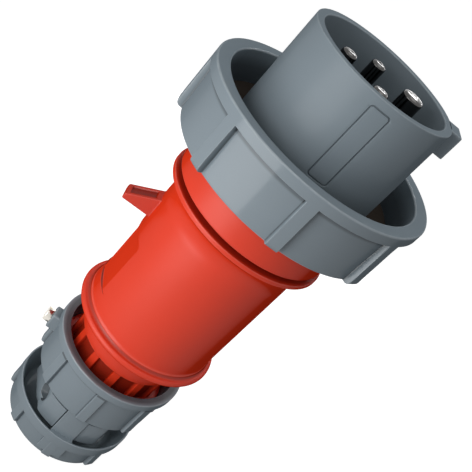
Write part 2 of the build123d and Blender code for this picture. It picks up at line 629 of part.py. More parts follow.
def ribs(count, width, r_out, r_in, z0, z1):
    """Grip ribs round a ring, rounded at their lower ends."""
    bar = Pos((r_in + r_out) / 2, 0, (z0 + z1) / 2) * Box(r_out - r_in, width, z1 - z0)
    bar = fillet(bar.edges().filter_by(Axis.Y).group_by(Axis.X)[-1].group_by(Axis.Z)[0], RIB_FOOT_ROUND)
    return [Rot(0, 0, 360 / count * i) * bar for i in range(count)]


def clamp_jaw(side):
    """One jaw of the strain relief, on +X for side 1 and on -X for side -1.

    Two flat facets take the screws. An ear beside each bridge of the nut guides the jaw.
    """
    z0 = REAR_RING_H - JAW_OVERLAP
    z1 = NUT_Z - RUN
    height = z1 - z0
    jaw = tube(0, JAW_R, z0, z1)
    edge = BRIDGE_DEG / 2 + span_deg(RUN, TAB_R)
    for way in (-1, 1):
        jaw += sector(JAW_R - TAB_ROOT, TAB_R, way * (90 - edge - TAB_DEG / 2), TAB_DEG,
                      z1 - TAB_BELOW - TAB_H, z1 - TAB_BELOW)
    jaw &= Pos(JAW_SPLIT / 2 + TAB_R, 0, (z0 + z1) / 2) * Box(2 * TAB_R, 3 * TAB_R, 2 * height)
    for turn in (-FACET_DEG, FACET_DEG):
        jaw &= Rot(0, 0, turn) * Pos(FACET_R - 2 * TAB_R, 0, (z0 + z1) / 2) * Box(
            4 * TAB_R, 4 * TAB_R, 2 * height)
    jaw -= Pos(0, 0, z0 - 1) * extrude(Circle(JAW_SADDLE_R), height + 2)
    for i in range(JAW_TEETH):
        tooth = z0 + height * (i + 0.5) / JAW_TEETH
        jaw -= tube(JAW_SADDLE_R - 1, JAW_SADDLE_R + JAW_TOOTH_DEPTH, tooth - JAW_TOOTH_H / 2,
                    tooth + JAW_TOOTH_H / 2)
    z = clamp_screw_z()
    for y in (-CLAMP_SCREW_OFFSET, CLAMP_SCREW_OFFSET):
        jaw -= rod_x(CLAMP_SCREW_R + RUN, -1, JAW_R + 1, y, z)
        if side < 0:
            jaw -= rod_x(CLAMP_HEAD_R + CLAMP_HEAD_ROOM, CLAMP_HEAD_SEAT, JAW_R + 1, y, z)
        else:
            jaw -= Pos(CLAMP_NUT_SEAT, y, z) * Rot(0, 90, 0) * extrude(
                RegularPolygon((CLAMP_NUT_AF / 2 + FIT) / cos(pi / 6), 6), JAW_R)
    return jaw if side > 0 else Rot(0, 0, 180) * jaw


def clamp_screw_z():
    """Height of the clamp screws."""
    return REAR_RING_H - JAW_OVERLAP + CLAMP_SCREW_UP


def clamp_screw(y):
    """Slotted screw along X. Its head sits in the jaw on -X."""
    reach = CLAMP_HEAD_SEAT + CLAMP_SCREW_END
    screw = slotted_screw(CLAMP_SCREW_R, CLAMP_HEAD_R, CLAMP_HEAD_T, reach)
    return Pos(-CLAMP_HEAD_SEAT - SEAT, y, clamp_screw_z()) * Rot(0, 90, 0) * screw


def clamp_nuts():
    """Two hexagon nuts in the jaw on +X."""
    nuts = []
    for y in (-CLAMP_SCREW_OFFSET, CLAMP_SCREW_OFFSET):
        blank = extrude(RegularPolygon(CLAMP_NUT_AF / 2 / cos(pi / 6), 6), CLAMP_NUT_T)
        blank -= Pos(0, 0, -1) * extrude(Circle(CLAMP_SCREW_R + FIT), CLAMP_NUT_T + 2)
        nuts.append(Pos(CLAMP_NUT_SEAT + SEAT, y, clamp_screw_z()) * Rot(0, 90, 0) * blank)
    return Compound(nuts)


def lock_screw():
    """Small screw in the boss of the nut that keeps it from working loose."""
    z = NUT_Z + BOSS_UP + BOSS_H / 2
    reach = BOSS_REACH - THREAD_R - RUN - BOSS_ROOT
    screw = slotted_screw(LOCK_SHANK_R, LOCK_HEAD_R, LOCK_HEAD_T, reach)
    return Pos(-BOSS_REACH - SEAT, 0, z) * Rot(0, 90, 0) * screw


PARTS = {
    "contact_shroud": contact_shroud(),
    "earth_pin": contact_pin(EARTH_PIN_R, 0.0, EARTH_TIP_BELOW),
    "phase_pin_1": contact_pin(PHASE_PIN_R, PHASE_ANGLES[0], PHASE_TIP_BELOW),
    "phase_pin_2": contact_pin(PHASE_PIN_R, PHASE_ANGLES[1], PHASE_TIP_BELOW),
    "phase_pin_3": contact_pin(PHASE_PIN_R, PHASE_ANGLES[2], PHASE_TIP_BELOW),
    "terminal_screws": terminal_screws(),
    "terminal_block": terminal_block(),
    "block_screw": block_screw(),
    "insert_screws": insert_screws(),
    "shroud_gasket": shroud_gasket(),
    "front_collar": front_collar(),
    "collar_oring": collar_oring(),
    "bayonet_ring": bayonet_ring(),
    "handle_housing": handle_housing(),
    "cable_seal": cable_seal(),
    "thrust_washer": thrust_washer(),
    "gland_nut": gland_nut(),
    "lock_screw": lock_screw(),
    "clamp_jaw_left": clamp_jaw(-1),
    "clamp_jaw_right": clamp_jaw(1),
    "clamp_screw_near": clamp_screw(-CLAMP_SCREW_OFFSET),
    "clamp_screw_far": clamp_screw(CLAMP_SCREW_OFFSET),
    "clamp_nuts": clamp_nuts(),
}

os.makedirs("parts", exist_ok=True)
for name, solid in PARTS.items():
    export_step(solid, f"parts/{name}.step")
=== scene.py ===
# %% [markdown]
# # An industrial pin and sleeve plug
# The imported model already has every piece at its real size. This lesson dresses it: each
# moulded shell is worked out again as a fine surface with rounded edges, and each finish is
# built from shader nodes. All lengths are written in millimetres and turned into metres once.

import bmesh
import bpy
import numpy as np
from mathutils import Matrix, Vector


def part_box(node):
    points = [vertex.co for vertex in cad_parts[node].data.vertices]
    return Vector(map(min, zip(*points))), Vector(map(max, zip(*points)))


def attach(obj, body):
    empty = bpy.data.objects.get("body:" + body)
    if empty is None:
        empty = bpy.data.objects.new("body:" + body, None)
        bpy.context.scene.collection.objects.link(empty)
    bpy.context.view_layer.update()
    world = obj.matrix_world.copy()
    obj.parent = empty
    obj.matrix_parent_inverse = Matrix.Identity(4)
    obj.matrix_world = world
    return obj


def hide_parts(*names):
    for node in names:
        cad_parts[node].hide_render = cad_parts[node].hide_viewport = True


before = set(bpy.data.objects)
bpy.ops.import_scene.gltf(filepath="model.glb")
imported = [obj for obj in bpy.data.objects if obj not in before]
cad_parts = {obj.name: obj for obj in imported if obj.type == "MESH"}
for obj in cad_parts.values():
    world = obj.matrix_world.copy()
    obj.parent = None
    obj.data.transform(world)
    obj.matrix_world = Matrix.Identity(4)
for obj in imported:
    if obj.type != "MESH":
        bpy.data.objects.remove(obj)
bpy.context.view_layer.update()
MM = 0.001

# %% [markdown]
# ## Heights along the plug
# The pieces stack up along Z. Reading the stations from the frame keeps the skins seated on
# the parts they cover, so nothing has to be fitted by eye.

# %% Stations read from the frame
def low_z(node):
    """Lowest point of a node, in millimetres."""
    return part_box(node)[0].z / MM


def high_z(node):
    """Highest point of a node, in millimetres."""
    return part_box(node)[1].z / MM


TOP = high_z("contact_shroud")
RING_LOW, RING_TOP = low_z("bayonet_ring"), high_z("bayonet_ring")
LIP_TOP = high_z("handle_housing")
SPIGOT_LOW = low_z("handle_housing")
NUT_MOUTH = high_z("gland_nut")
COLLAR_TOP = high_z("front_collar")
print("mouth of the sleeve at", round(TOP, 2), "mm, mouth of the nut at", round(NUT_MOUTH, 2))

# %% [markdown]
# ## Outlines
# Most shells of this plug are outlines turned about its axis. A real mould has no sharp corner,
# and it is the small round at each edge that catches the light. So a corner is written with its
# radius, and the arc is worked out.

# %% Rounded outlines
ARC_STEPS = 5      # points on each arc
STRAIGHT = 1.56    # a larger half angle, in radians, is no corner


def rounded(corners):
    """Outline with its corners replaced by arcs.

    Each corner is (radius, height, round). The arc touches both sides at a distance of
    round / tan(half the angle), and its points are the start and end vectors from its centre,
    mixed as sin((1 - t) * turn) and sin(t * turn). Returns (points, edge mask). The mask is
    positive on outer corners, which the finishes paint paler, and negative in inner ones, where
    they paint shade: the turn's sign times the area's.
    """
    pts = np.array([c[:2] for c in corners], float)
    after = np.roll(pts, -1, axis=0)
    around = np.sign((pts[:, 0] * after[:, 1] - pts[:, 1] * after[:, 0]).sum())
    out, mask = [], []
    for i, corner in enumerate(corners):
        r = corner[2] if len(corner) > 2 else 0.0
        p, a, b = pts[i], pts[i - 1], pts[(i + 1) % len(pts)]
        u, v = (a - p) / np.linalg.norm(a - p), (b - p) / np.linalg.norm(b - p)
        half = np.arccos(np.clip(u @ v, -1, 1)) / 2
        if r == 0.0 or half > STRAIGHT:
            out.append(p[None])
            mask.append([0.0])
            continue
        reach = r / np.tan(half)
        centre = p + (u + v) / np.linalg.norm(u + v) * r / np.sin(half)
        start, end = p + u * reach - centre, p + v * reach - centre
        t = np.linspace(0, 1, ARC_STEPS)[:, None]
        turn = np.pi - 2 * half
        arc = (np.sin((1 - t) * turn) * start + np.sin(t * turn) * end) / np.sin(turn)
        outer = -around * np.sign(u[0] * v[1] - u[1] * v[0])
        out.append(centre + arc)
        mask.append(outer * np.sin(np.linspace(0, 1, ARC_STEPS) * np.pi) ** 0.5)
    return np.concatenate(out), np.concatenate(mask)


def finer(points, mask, step):
    """Outline with extra points on its long straight runs, none further apart than step."""
    out, edge = [], []
    for i in range(len(points)):
        p, q = points[i], points[(i + 1) % len(points)]
        n = max(1, int(np.ceil(np.linalg.norm(q - p) / step)))
        t = np.linspace(0, 1, n, endpoint=False)[:, None]
        out.append(p + (q - p) * t)
        edge.append(np.concatenate([[mask[i]], np.zeros(n - 1)]))
    return np.concatenate(out), np.concatenate(edge)


def arc_through(start, middle, end, n=9):
    """Points of the circle through three points: the centre is where the two middle lines
    cross, and the angle runs evenly from the start to the end, by way of the middle."""
    a, b, c = (np.array(p, float) for p in (start, middle, end))
    centre = np.linalg.solve(2 * np.array([b - a, c - a]), [b @ b - a @ a, c @ c - a @ a])
    angle = np.unwrap([np.arctan2(*(p - centre)[::-1]) for p in (a, b, c)])
    t = np.linspace(angle[0], angle[2], n)
    radius = np.linalg.norm(a - centre)
    return [tuple(p) for p in centre + radius * np.stack([np.cos(t), np.sin(t)], 1)]


print("a right angle becomes", len(rounded([(0, 0), (4, 0, 1), (4, 4)])[0]) - 2, "points")

# %% [markdown]
# ## From a grid to a mesh
# A modifier such as Screw could spin an outline, but a numpy grid lets the radius change with
# the angle as well. That gives ribs, panels and engraved lines in the same closed skin. The
# mesh also keeps an attribute named edge, which the finishes read later: above 0 on outer
# rounds, painted paler as wear and as a painted highlight, and below 0 where shade is painted:
# in inner corners, in grooves, in holes and under steps.

# %% Grid to mesh
MERGE = 0.002        # points closer than this are one point
FACE_WEIGHT = 80     # how far the large faces pull the normals of the small ones
ROUND_STEPS = 192    # angles round a piece without ribs


def quad_mesh(name, verts, quads, edge):
    """Mesh object from points in millimetres and rows of four corners."""
    mesh = bpy.data.meshes.new(name)
    mesh.vertices.add(len(verts))
    mesh.vertices.foreach_set("co", (verts * MM).astype(np.float32).ravel())
    mesh.loops.add(quads.size)
    mesh.loops.foreach_set("vertex_index", quads.astype(np.int32).ravel())
    mesh.polygons.add(len(quads))
    mesh.polygons.foreach_set("loop_start", np.arange(0, quads.size, 4, dtype=np.int32))
    mesh.polygons.foreach_set("use_smooth", np.ones(len(quads), bool))
    values = mesh.attributes.new("edge", "FLOAT", "POINT").data
    values.foreach_set("value", edge.astype(np.float32))
    mesh.update(calc_edges=True)
    mesh.validate()
    obj = bpy.data.objects.new(name, mesh)
    bpy.context.scene.collection.objects.link(obj)
    return obj


def grid_mesh(name, verts, edge, closed=True):
    """Mesh from a grid of points, closed round its first direction, and round both if closed."""
    nu, nv = verts.shape[:2]
    index = np.arange(nu * nv).reshape(nu, nv)
    across = np.roll(index, -1, axis=0)
    quads = np.stack([index, across, np.roll(across, -1, 1), np.roll(index, -1, 1)], -1)
    if not closed:
        quads = quads[:, :-1]
    return quad_mesh(name, verts.reshape(-1, 3), quads.reshape(-1, 4),
                     np.broadcast_to(edge, (nu, nv)).ravel())


def close_seams(obj):
    """Merges points that lie on each other and turns every face outwards."""
    bm = bmesh.new()
    bm.from_mesh(obj.data)
    bmesh.ops.remove_doubles(bm, verts=bm.verts, dist=MERGE * MM)
    bmesh.ops.dissolve_degenerate(bm, edges=bm.edges, dist=MERGE * MM * 0.5)
    bmesh.ops.recalc_face_normals(bm, faces=bm.faces)
    bm.to_mesh(obj.data)
    bm.free()
    obj.modifiers.new("weighted", "WEIGHTED_NORMAL").weight = FACE_WEIGHT
    return obj


def even_angles(n):
    """n angles, evenly spaced round the circle."""
    return np.linspace(0, 2 * np.pi, n, endpoint=False)


def turned(name, corners, angles=None, relief=None, step=3.0):
    """Closed outline turned about Z: x = r cos(a), y = r sin(a).

    relief(angle, radius, height, edge) gives what is added to the radius at each point, so
    one grid can hold ribs, panels and engraved lines. It returns (added radius, edge mask).
    """
    points, mask = finer(*rounded(corners), step)
    angles = even_angles(ROUND_STEPS) if angles is None else angles
    a = angles[:, None]
    shape = (len(angles), len(points))
    r, z, edge = (np.broadcast_to(row, shape) for row in (points[:, 0], points[:, 1], mask))
    if relief is not None:
        added, edge = relief(a, r, z, edge)
        r = r + added
    verts = np.stack([r * np.cos(a), r * np.sin(a), z], -1)
    return close_seams(grid_mesh(name, verts, edge))


# %% [markdown]
# ## Ribs
# A moulder puts ribs on a ring so that a gloved hand can turn it. Their flanks are steep, so the
# grid's angles crowd together there and stay wide apart between them. The mesh stays light.
# In these functions half is half a rib's width and soft is half a flank's, both as angles.

# %% Angles and masks for ribs
def smooth(x):
    """0 below 0, 1 above 1, and 3x^2 - 2x^3 between."""
    x = np.clip(x, 0, 1)
    return x * x * (3 - 2 * x)


def band(z, middle, half, soft):
    """1 near middle, falling to 0 at a distance of half, over a width of soft."""
    return smooth((half - np.abs(z - middle)) / soft)


FLANK_STEPS = np.array([-2.6, -1.6, -1, -0.5, 0, 0.5, 1, 1.7, 2.6, 3.6])    # in half flanks
# the crest's bell makes the crest paler (wear and painted highlight); the foot's bell paints
# shade
CREST_AT, CREST_WIDTH = 0.9, 0.8    # bells of the edge mask, in half flanks too
FOOT_SHADE_AT, FOOT_SHADE_WIDTH = 1.3, 1.1
SHADE_FULL, SHADE_END = 0.7, 1.2    # reach of the shade under a step, in the step's width


def rib_angles(count, half, soft, between):
    """Angles for ribs: dense across the flanks, sparse on the rib and on the panel."""
    pitch = 2 * np.pi / count
    flank = half + soft * FLANK_STEPS
    crown = np.linspace(-flank[0], flank[0], 4)[1:-1]
    panel = np.linspace(flank[-1], pitch - flank[-1], between)[1:-1]
    one = np.concatenate([-flank[::-1], crown, flank, panel])
    return np.sort((one[None] + pitch * np.arange(count)[:, None]).ravel() % (2 * np.pi))


def rib_mask(a, count, half, soft):
    """1 on a rib and 0 on a panel, easing over the flank."""
    pitch = 2 * np.pi / count
    off = np.abs((a + pitch / 2) % pitch - pitch / 2)
    return smooth((half + soft - off) / (2 * soft))


def rib_highlight_and_shade(a, count, half, soft):
    """Edge mask of ribs: a bell on the crest's corner, painted paler as wear and highlight, less
    a wider bell along the foot, where shade is painted.
    """
    pitch = 2 * np.pi / count
    t = (np.abs((a + pitch / 2) % pitch - pitch / 2) - half) / soft
    crest, foot = (t + CREST_AT) / CREST_WIDTH, (t - FOOT_SHADE_AT) / FOOT_SHADE_WIDTH
    return np.exp(-crest ** 2) - np.exp(-foot ** 2)


def foot_round(z, foot, size):
    """How far a rib's crest draws in near its foot: a quarter circle, size * (1 - cos)."""
    h = np.clip((foot + size - z) / size, 0, 1)
    return size * (1 - np.sqrt(1 - h * h))


def shade_under_step(z, step, out):
    """Mask of painted shade: 1 just below a step that stands out by out, fading to 0. Seen from
    above, the step hides a strip of the wall below it, so the painted shade reaches past that."""
    below = (step - z) / out
    return smooth((SHADE_END - below) / (SHADE_END - SHADE_FULL)) * (z < step + 0.01)


# %% [markdown]
# ## Soft blocks
# The key, the ramps, the bridges and the boss are blocks with rounded edges. A Bevel modifier
# would round a cube as well, but these blocks are bent round the plug, and here the bend is one
# more formula on the same points.

# %% Rounded block
FLAT_SHARE = 1.6     # 1 / the part of the cube's grid that lies on the flat faces


def soft_block(name, lo, hi, edge, bend=None, cells=10):
    """Block with rounded edges: p = point of a smaller inner box + edge * unit vector.

    Six grids of a cube, whose outer cells follow the round. bend maps the finished points, for
    example from (radius, degrees, height) to (x, y, z).
    """
    lo, hi = np.array(lo, float), np.array(hi, float)
    t = np.linspace(-1, 1, cells)
    u, v = np.meshgrid(t, t, indexing="ij")
    faces = [np.roll(np.stack([np.full_like(u, sign), u, v], -1), axis, -1).reshape(-1, 3)
             for axis in range(3) for sign in (-1.0, 1.0)]
    index = np.arange(cells * cells).reshape(cells, cells)
    face = np.stack([index[:-1, :-1], index[1:, :-1], index[1:, 1:], index[:-1, 1:]], -1)
    first = np.arange(6)[:, None, None] * cells * cells
    quads = (face.reshape(-1, 4)[None] + first).reshape(-1, 4)
    cube = np.concatenate(faces)
    core = np.clip(cube * FLAT_SHARE, -1, 1) * ((hi - lo) / 2 - edge)
    over = np.sign(cube) * np.maximum(np.abs(cube) - 1 / FLAT_SHARE, 0)
    length = np.linalg.norm(over, axis=1, keepdims=True)
    p = (lo + hi) / 2 + core + over / np.maximum(length, 1e-9) * edge
    # the rounded edges get a positive edge mask: painted paler, as wear and as a painted
    # highlight
    mask = (np.abs(over) > 0.1 * length).sum(1) > 1
    if bend is not None:
        p = bend(p)
    return close_seams(quad_mesh(name, p, quads, mask.astype(float)))


def round_plug(p):
    """(radius, degrees, height) to (x, y, z)."""
    a = np.radians(p[:, 1])
    return np.stack([p[:, 0] * np.cos(a), p[:, 0] * np.sin(a), p[:, 2]], -1)


# %% [markdown]
# ## Copies of the small hardware
# Screws, nuts and jaws keep their modelled shape. A copy has its loose triangles merged and its
# edges bevelled, because a stamped screw has small rounds as well. The holes of the jaws get a
# negative edge value, which paints shade inside them.

# %% Dressed copies
SHARP_DEG = 40                            # edges sharper than this get a bevel
SAME_POINT, SAME_PLANE = 0.0005, 0.002    # millimetres and radians
HOLE_Y, HOLE_Z, HOLE_R = 13.2, 17.8, 3.4


def shade_holes(mesh):
    """Edge mask of -1, which paints shade, on the faces inside the screws' holes, 0 elsewhere: a
    face is inside when all its corners lie within the hole's radius of the line y = +-HOLE_Y,
    z = HOLE_Z."""
    co = np.zeros(len(mesh.vertices) * 3)
    mesh.vertices.foreach_get("co", co)
    co = co.reshape(-1, 3) / MM
    near = np.hypot(np.abs(co[:, 1]) - HOLE_Y, co[:, 2] - HOLE_Z) < HOLE_R + 0.02
    corner = np.zeros(len(mesh.loops), int)
    mesh.loops.foreach_get("vertex_index", corner)
    total = np.zeros(len(mesh.polygons), int)
    mesh.polygons.foreach_get("loop_total", total)
    face = np.repeat(np.arange(len(total)), total)
    share = np.bincount(face, weights=near[corner], minlength=len(total)) / total
    values = mesh.attributes.new("edge", "FLOAT", "CORNER").data
    values.foreach_set("value", -(share[face] > 0.99).astype(np.float32))


def dressed(node, bevel, body):
    """Copy of a node's mesh that replaces it, with merged faces and bevelled edges."""
    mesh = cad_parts[node].data.copy()
    mesh.name = node + "_dressed"
    bm = bmesh.new()
    bm.from_mesh(mesh)
    bmesh.ops.remove_doubles(bm, verts=bm.verts, dist=SAME_POINT * MM)
    bmesh.ops.dissolve_limit(bm, angle_limit=SAME_PLANE, verts=bm.verts, edges=bm.edges)
    bm.to_mesh(mesh)
    bm.free()
    mesh.materials.clear()
    mesh.polygons.foreach_set("use_smooth", np.ones(len(mesh.polygons), bool))
    shade_holes(mesh)
    obj = bpy.data.objects.new(node + "_dressed", mesh)
    bpy.context.scene.collection.objects.link(obj)
    cut = obj.modifiers.new("bevel", "BEVEL")
    cut.width = bevel * MM
    cut.segments = 2
    cut.limit_method = "ANGLE"
    cut.angle_limit = np.radians(SHARP_DEG)
    cut.harden_normals = True
    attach(obj, body)
    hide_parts(node)
    return obj


# %% [markdown]
# ## Finishes
# Every finish is procedural and reads Object coordinates, so it stays put when a piece
# turns. One group holds what all mouldings share: the fine spark-eroded grain of the mould,
# slow changes of tone, outer edges that are a little paler and smoother, from handling and
# as a painted highlight, and painted shade where the edge mask is below 0: in inner corners,
# grooves and holes and under steps.

# %% Small helpers for node trees
def new_group(name, inputs, outputs):
    """Empty node group with its sockets: (group, input node, output node)."""
    group = bpy.data.node_groups.new(name, "ShaderNodeTree")
    for label, kind, value in inputs:
        socket = group.interface.new_socket(label, in_out="INPUT", socket_type=kind)
        socket.default_value = value
    for label, kind in outputs:
        group.interface.new_socket(label, in_out="OUTPUT", socket_type=kind)
    return group, group.nodes.new("NodeGroupInput"), group.nodes.new("NodeGroupOutput")


def add(tree, kind, **settings):
    """Adds a node. A setting that names an input sets its value, another sets a property."""
    node = tree.nodes.new(kind)
    for key, value in settings.items():
        label = key.replace("_", " ")
        if label in node.inputs.keys():
            node.inputs[label].default_value = value
        else:
            setattr(node, key, value)
    return node


def calc(tree, operation, *values, **settings):
    """Output of a new math node. Each value is a number or a socket that is linked to it."""
    node = add(tree, "ShaderNodeMath", operation=operation, **settings)
    for socket, value in zip(node.inputs, values):
        if isinstance(value, float):
            socket.default_value = value
        else:
            tree.links.new(value, socket)
    return node.outputs[0]


def noise(tree, coords, scale, detail):
    """Noise texture in Object coordinates."""
    node = add(tree, "ShaderNodeTexNoise", Scale=scale, Detail=detail)
    tree.links.new(coords.outputs["Object"], node.inputs["Vector"])
    return node


def new_material(name):
    """Material with its tree and its Principled BSDF."""
    material = bpy.data.materials.new(name)
    material.use_nodes = True
    tree = material.node_tree
    return material, tree, tree.nodes["Principled BSDF"]


# %% Group for moulded plastic
SLOW_SCALE, WORN_SCALE = 55.0, 320.0    # noise cells per metre
POLISH, CLOUDY = -0.12, 0.08            # what wear and slow noise add to the roughness
GRAIN_HEIGHT = 0.0001


def moulded_group():
    """Colour, roughness and normal of a moulding, from its edge mask and three noises. Where the
    mask is below 0 the colour is darkened as painted shade; above 0 it turns paler, as wear and
    as a painted highlight.
    """
    group, gin, gout = new_group("moulded_skin", [
        ("Colour", "NodeSocketColor", (0.5, 0.5, 0.5, 1)),
        ("Edge Colour", "NodeSocketColor", (0.6, 0.6, 0.6, 1)),
        ("Grain Scale", "NodeSocketFloat", 2600.0),
        ("Grain Depth", "NodeSocketFloat", 0.06),
        ("Tone", "NodeSocketFloat", 0.06),
        ("Painted Shade", "NodeSocketFloat", 0.6),
        ("Roughness", "NodeSocketFloat", 0.35),
    ], [("Colour", "NodeSocketColor"), ("Roughness", "NodeSocketFloat"),
        ("Normal", "NodeSocketVector")])
    link, given = group.links.new, gin.outputs
    coords = add(group, "ShaderNodeTexCoord")
    grain = noise(group, coords, 1.0, 3.0)
    link(given["Grain Scale"], grain.inputs["Scale"])
    slow = noise(group, coords, SLOW_SCALE, 2.0).outputs["Fac"]
    worn = noise(group, coords, WORN_SCALE, 4.0).outputs["Fac"]
    edge = add(group, "ShaderNodeAttribute", attribute_name="edge").outputs["Fac"]
    # paler edges where the mask is above 0: wear, and partly a painted highlight
    wear_and_highlight = calc(group, "MULTIPLY", calc(group, "MAXIMUM", edge, 0.0), worn)
    # painted shade: the colour is darkened where the mask is below 0
    depth = calc(group, "MULTIPLY", edge, -1.0)
    inner = calc(group, "MULTIPLY", depth, given["Painted Shade"], use_clamp=True)
    centred = calc(group, "MULTIPLY_ADD", slow, 2.0, -1.0)
    swing = calc(group, "MULTIPLY", centred, given["Tone"])
    tone = calc(group, "MULTIPLY", calc(group, "ADD", swing, 1.0),
                calc(group, "SUBTRACT", 1.0, inner))
    scaled = add(group, "ShaderNodeVectorMath", operation="SCALE")
    link(given["Colour"], scaled.inputs[0])
    link(tone, scaled.inputs["Scale"])
    paler = add(group, "ShaderNodeMix", data_type="RGBA")
    link(wear_and_highlight, paler.inputs["Factor"])
    link(scaled.outputs[0], paler.inputs["A"])
    link(given["Edge Colour"], paler.inputs["B"])
    link(paler.outputs["Result"], gout.inputs["Colour"])
    polished = calc(group, "MULTIPLY_ADD", wear_and_highlight, POLISH, given["Roughness"])
    link(calc(group, "MULTIPLY_ADD", slow, CLOUDY, polished), gout.inputs["Roughness"])
    bump = add(group, "ShaderNodeBump", Distance=GRAIN_HEIGHT)
    link(given["Grain Depth"], bump.inputs["Strength"])
    link(grain.outputs["Fac"], bump.inputs["Height"])
    link(bump.outputs["Normal"], gout.inputs["Normal"])
    return group


MOULDED = moulded_group()
print("shared group:", MOULDED.name, "with", len(MOULDED.nodes), "nodes")

# %% [markdown]
# The plastic itself is a Principled BSDF. Glass-filled polyamide is satin, not glossy, so its
# own highlight is weak. A polished mould leaves one more reflection on top of that, which a
# coat gives. Layer Weight fades both out towards the outline, where a satin surface stays
# quiet instead of mirroring the white room.

# %% Plastics
SPECULAR, TONE = 0.1, 0.04
FADE_FROM, FADE_TO = 0.15, 0.65


def plastic(name, colour, edge_colour, roughness=0.4, coat=0.0, coat_roughness=0.12,
            grain=0.2, painted_shade=0.6):
    """Principled BSDF fed by the shared group."""
    material, tree, shader = new_material(name)
    skin = tree.nodes.new("ShaderNodeGroup")
    skin.node_tree = MOULDED
    for label, value in (("Colour", (*colour, 1)), ("Edge Colour", (*edge_colour, 1)),
                         ("Grain Depth", grain), ("Tone", TONE), ("Painted Shade", painted_shade),
                         ("Roughness", roughness)):
        skin.inputs[label].default_value = value
    for label, target in (("Colour", "Base Color"), ("Roughness", "Roughness"),
                          ("Normal", "Normal")):
        tree.links.new(skin.outputs[label], shader.inputs[target])
    shader.inputs["Coat Roughness"].default_value = coat_roughness
    facing = add(tree, "ShaderNodeLayerWeight", Blend=0.5)
    for label, full in (("Coat Weight", coat), ("Specular IOR Level", SPECULAR)):
        fade = add(tree, "ShaderNodeMapRange", From_Min=FADE_FROM, From_Max=FADE_TO,
                   To_Min=full, To_Max=0.0)
        tree.links.new(facing.outputs["Facing"], fade.inputs["Value"])
        tree.links.new(fade.outputs["Result"], shader.inputs[label])
    return material


# each plastic's second colour is the paler edge colour: wear, and partly a painted highlight
GREY_BASE = (0.222, 0.266, 0.296)
GREY = plastic("grey_polyamide", GREY_BASE, (0.32, 0.37, 0.40), coat=0.25, coat_roughness=0.3)
GREY_RING = plastic("grey_polyamide_ring", GREY_BASE, (0.36, 0.41, 0.44), coat=0.6)
GREY_DARK = plastic("grey_inside", (0.06, 0.062, 0.065), (0.09, 0.09, 0.09), 0.5)
RED = plastic("red_polyamide", (0.78, 0.044, 0.013), (0.84, 0.13, 0.09), coat=0.8,
              coat_roughness=0.4, painted_shade=0.8)
RUBBER = plastic("seal_rubber", (0.042, 0.034, 0.028), (0.06, 0.052, 0.045), 0.6, grain=0.5)
print("plastics:", [m.name for m in (GREY, GREY_RING, GREY_DARK, RED, RUBBER)])

# %% [markdown]
# Nickel plate on the contacts is not a mirror: fine turning marks run round each pin, and the
# plating has faint cloudy patches. Stretching the noise along X and Y leaves marks that change
# only with the height. The pins' colour is set far darker than nickel: painted shade that
# stands in for the dark surroundings they would reflect.

# %% Metal finishes
CLOUD_SCALE, CLOUD_ROUGH, CLOUD_TINT = 260.0, 0.7, 0.82
MARK_STRETCH, MARK_HEIGHT, MARK_STRENGTH = 0.05, 0.00003, 0.25


def metal(name, colour, roughness, marks):
    """Plated metal. Its roughness is CLOUD_ROUGH * roughness * (1 + noise)."""
    material, tree, shader = new_material(name)
    shader.inputs["Metallic"].default_value = 1.0
    coords = add(tree, "ShaderNodeTexCoord")
    stretch = add(tree, "ShaderNodeMapping", Scale=(MARK_STRETCH, MARK_STRETCH, 1.0))
    wave = add(tree, "ShaderNodeTexNoise", Scale=marks, Detail=2.0)
    tree.links.new(coords.outputs["Object"], stretch.inputs["Vector"])
    tree.links.new(stretch.outputs["Vector"], wave.inputs["Vector"])
    cloud = noise(tree, coords, CLOUD_SCALE, 3.0).outputs["Fac"]
    share = roughness * CLOUD_ROUGH
    tree.links.new(calc(tree, "MULTIPLY_ADD", cloud, share, share), shader.inputs["Roughness"])
    tint = add(tree, "ShaderNodeMix", data_type="RGBA")
    tint.inputs["A"].default_value = (*colour, 1)
    tint.inputs["B"].default_value = (*[c * CLOUD_TINT for c in colour], 1)
    tree.links.new(cloud, tint.inputs["Factor"])
    tree.links.new(tint.outputs["Result"], shader.inputs["Base Color"])
    bump = add(tree, "ShaderNodeBump", Distance=MARK_HEIGHT, Strength=MARK_STRENGTH)
    tree.links.new(wave.outputs["Fac"], bump.inputs["Height"])
    tree.links.new(bump.outputs["Normal"], shader.inputs["Normal"])
    return material


# far darker than real nickel: painted shade for the dark surroundings the pins reflect
NICKEL = metal("nickel_plate", (0.09, 0.088, 0.086), 0.11, 9000.0)
SCREW_NICKEL = metal("nickel_screw", (0.80, 0.76, 0.69), 0.2, 7000.0)
ZINC = metal("zinc_plate", (0.60, 0.60, 0.60), 0.3, 7000.0)
print("metals:", [m.name for m in (NICKEL, SCREW_NICKEL, ZINC)])


def finish(obj, material, body):
    """Gives a piece its material and its body, and prints its face count."""
    obj.data.materials.append(material)
    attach(obj, body)
    print(obj.name, len(obj.data.polygons), "faces")


# %% [markdown]
# ## The sleeve
# The grey sleeve is a thin tube with a small chamfer at its mouth. The name field on its side
# is left bare: only the shallow frame line is engraved, as relief in the same grid, with shade
# painted into it. The grid's angles and heights crowd along that line, so that it stays thin.

# %% Sleeve with name field
AXIS = 0.01     # radius at which an outline meets the axis
SLEEVE_R, SLEEVE_WALL, SLEEVE_DEPTH = 25.0, 2.7, 42.0
FLANGE_R, FLANGE_T, GUIDE_R, GUIDE_LEN = 33.5, 2.5, 24.9, 6
FIELD_MIDDLE = np.radians(-90)
FIELD_HALF, FIELD_TOP, FIELD_LOW, FIELD_ROUND = 3.15, TOP - 2.8, TOP - 28.2, 1.0
LINE_HALF, LINE_SOFT, LINE_DEPTH, LINE_SHADE = 0.20, 0.10, 0.35, 0.6


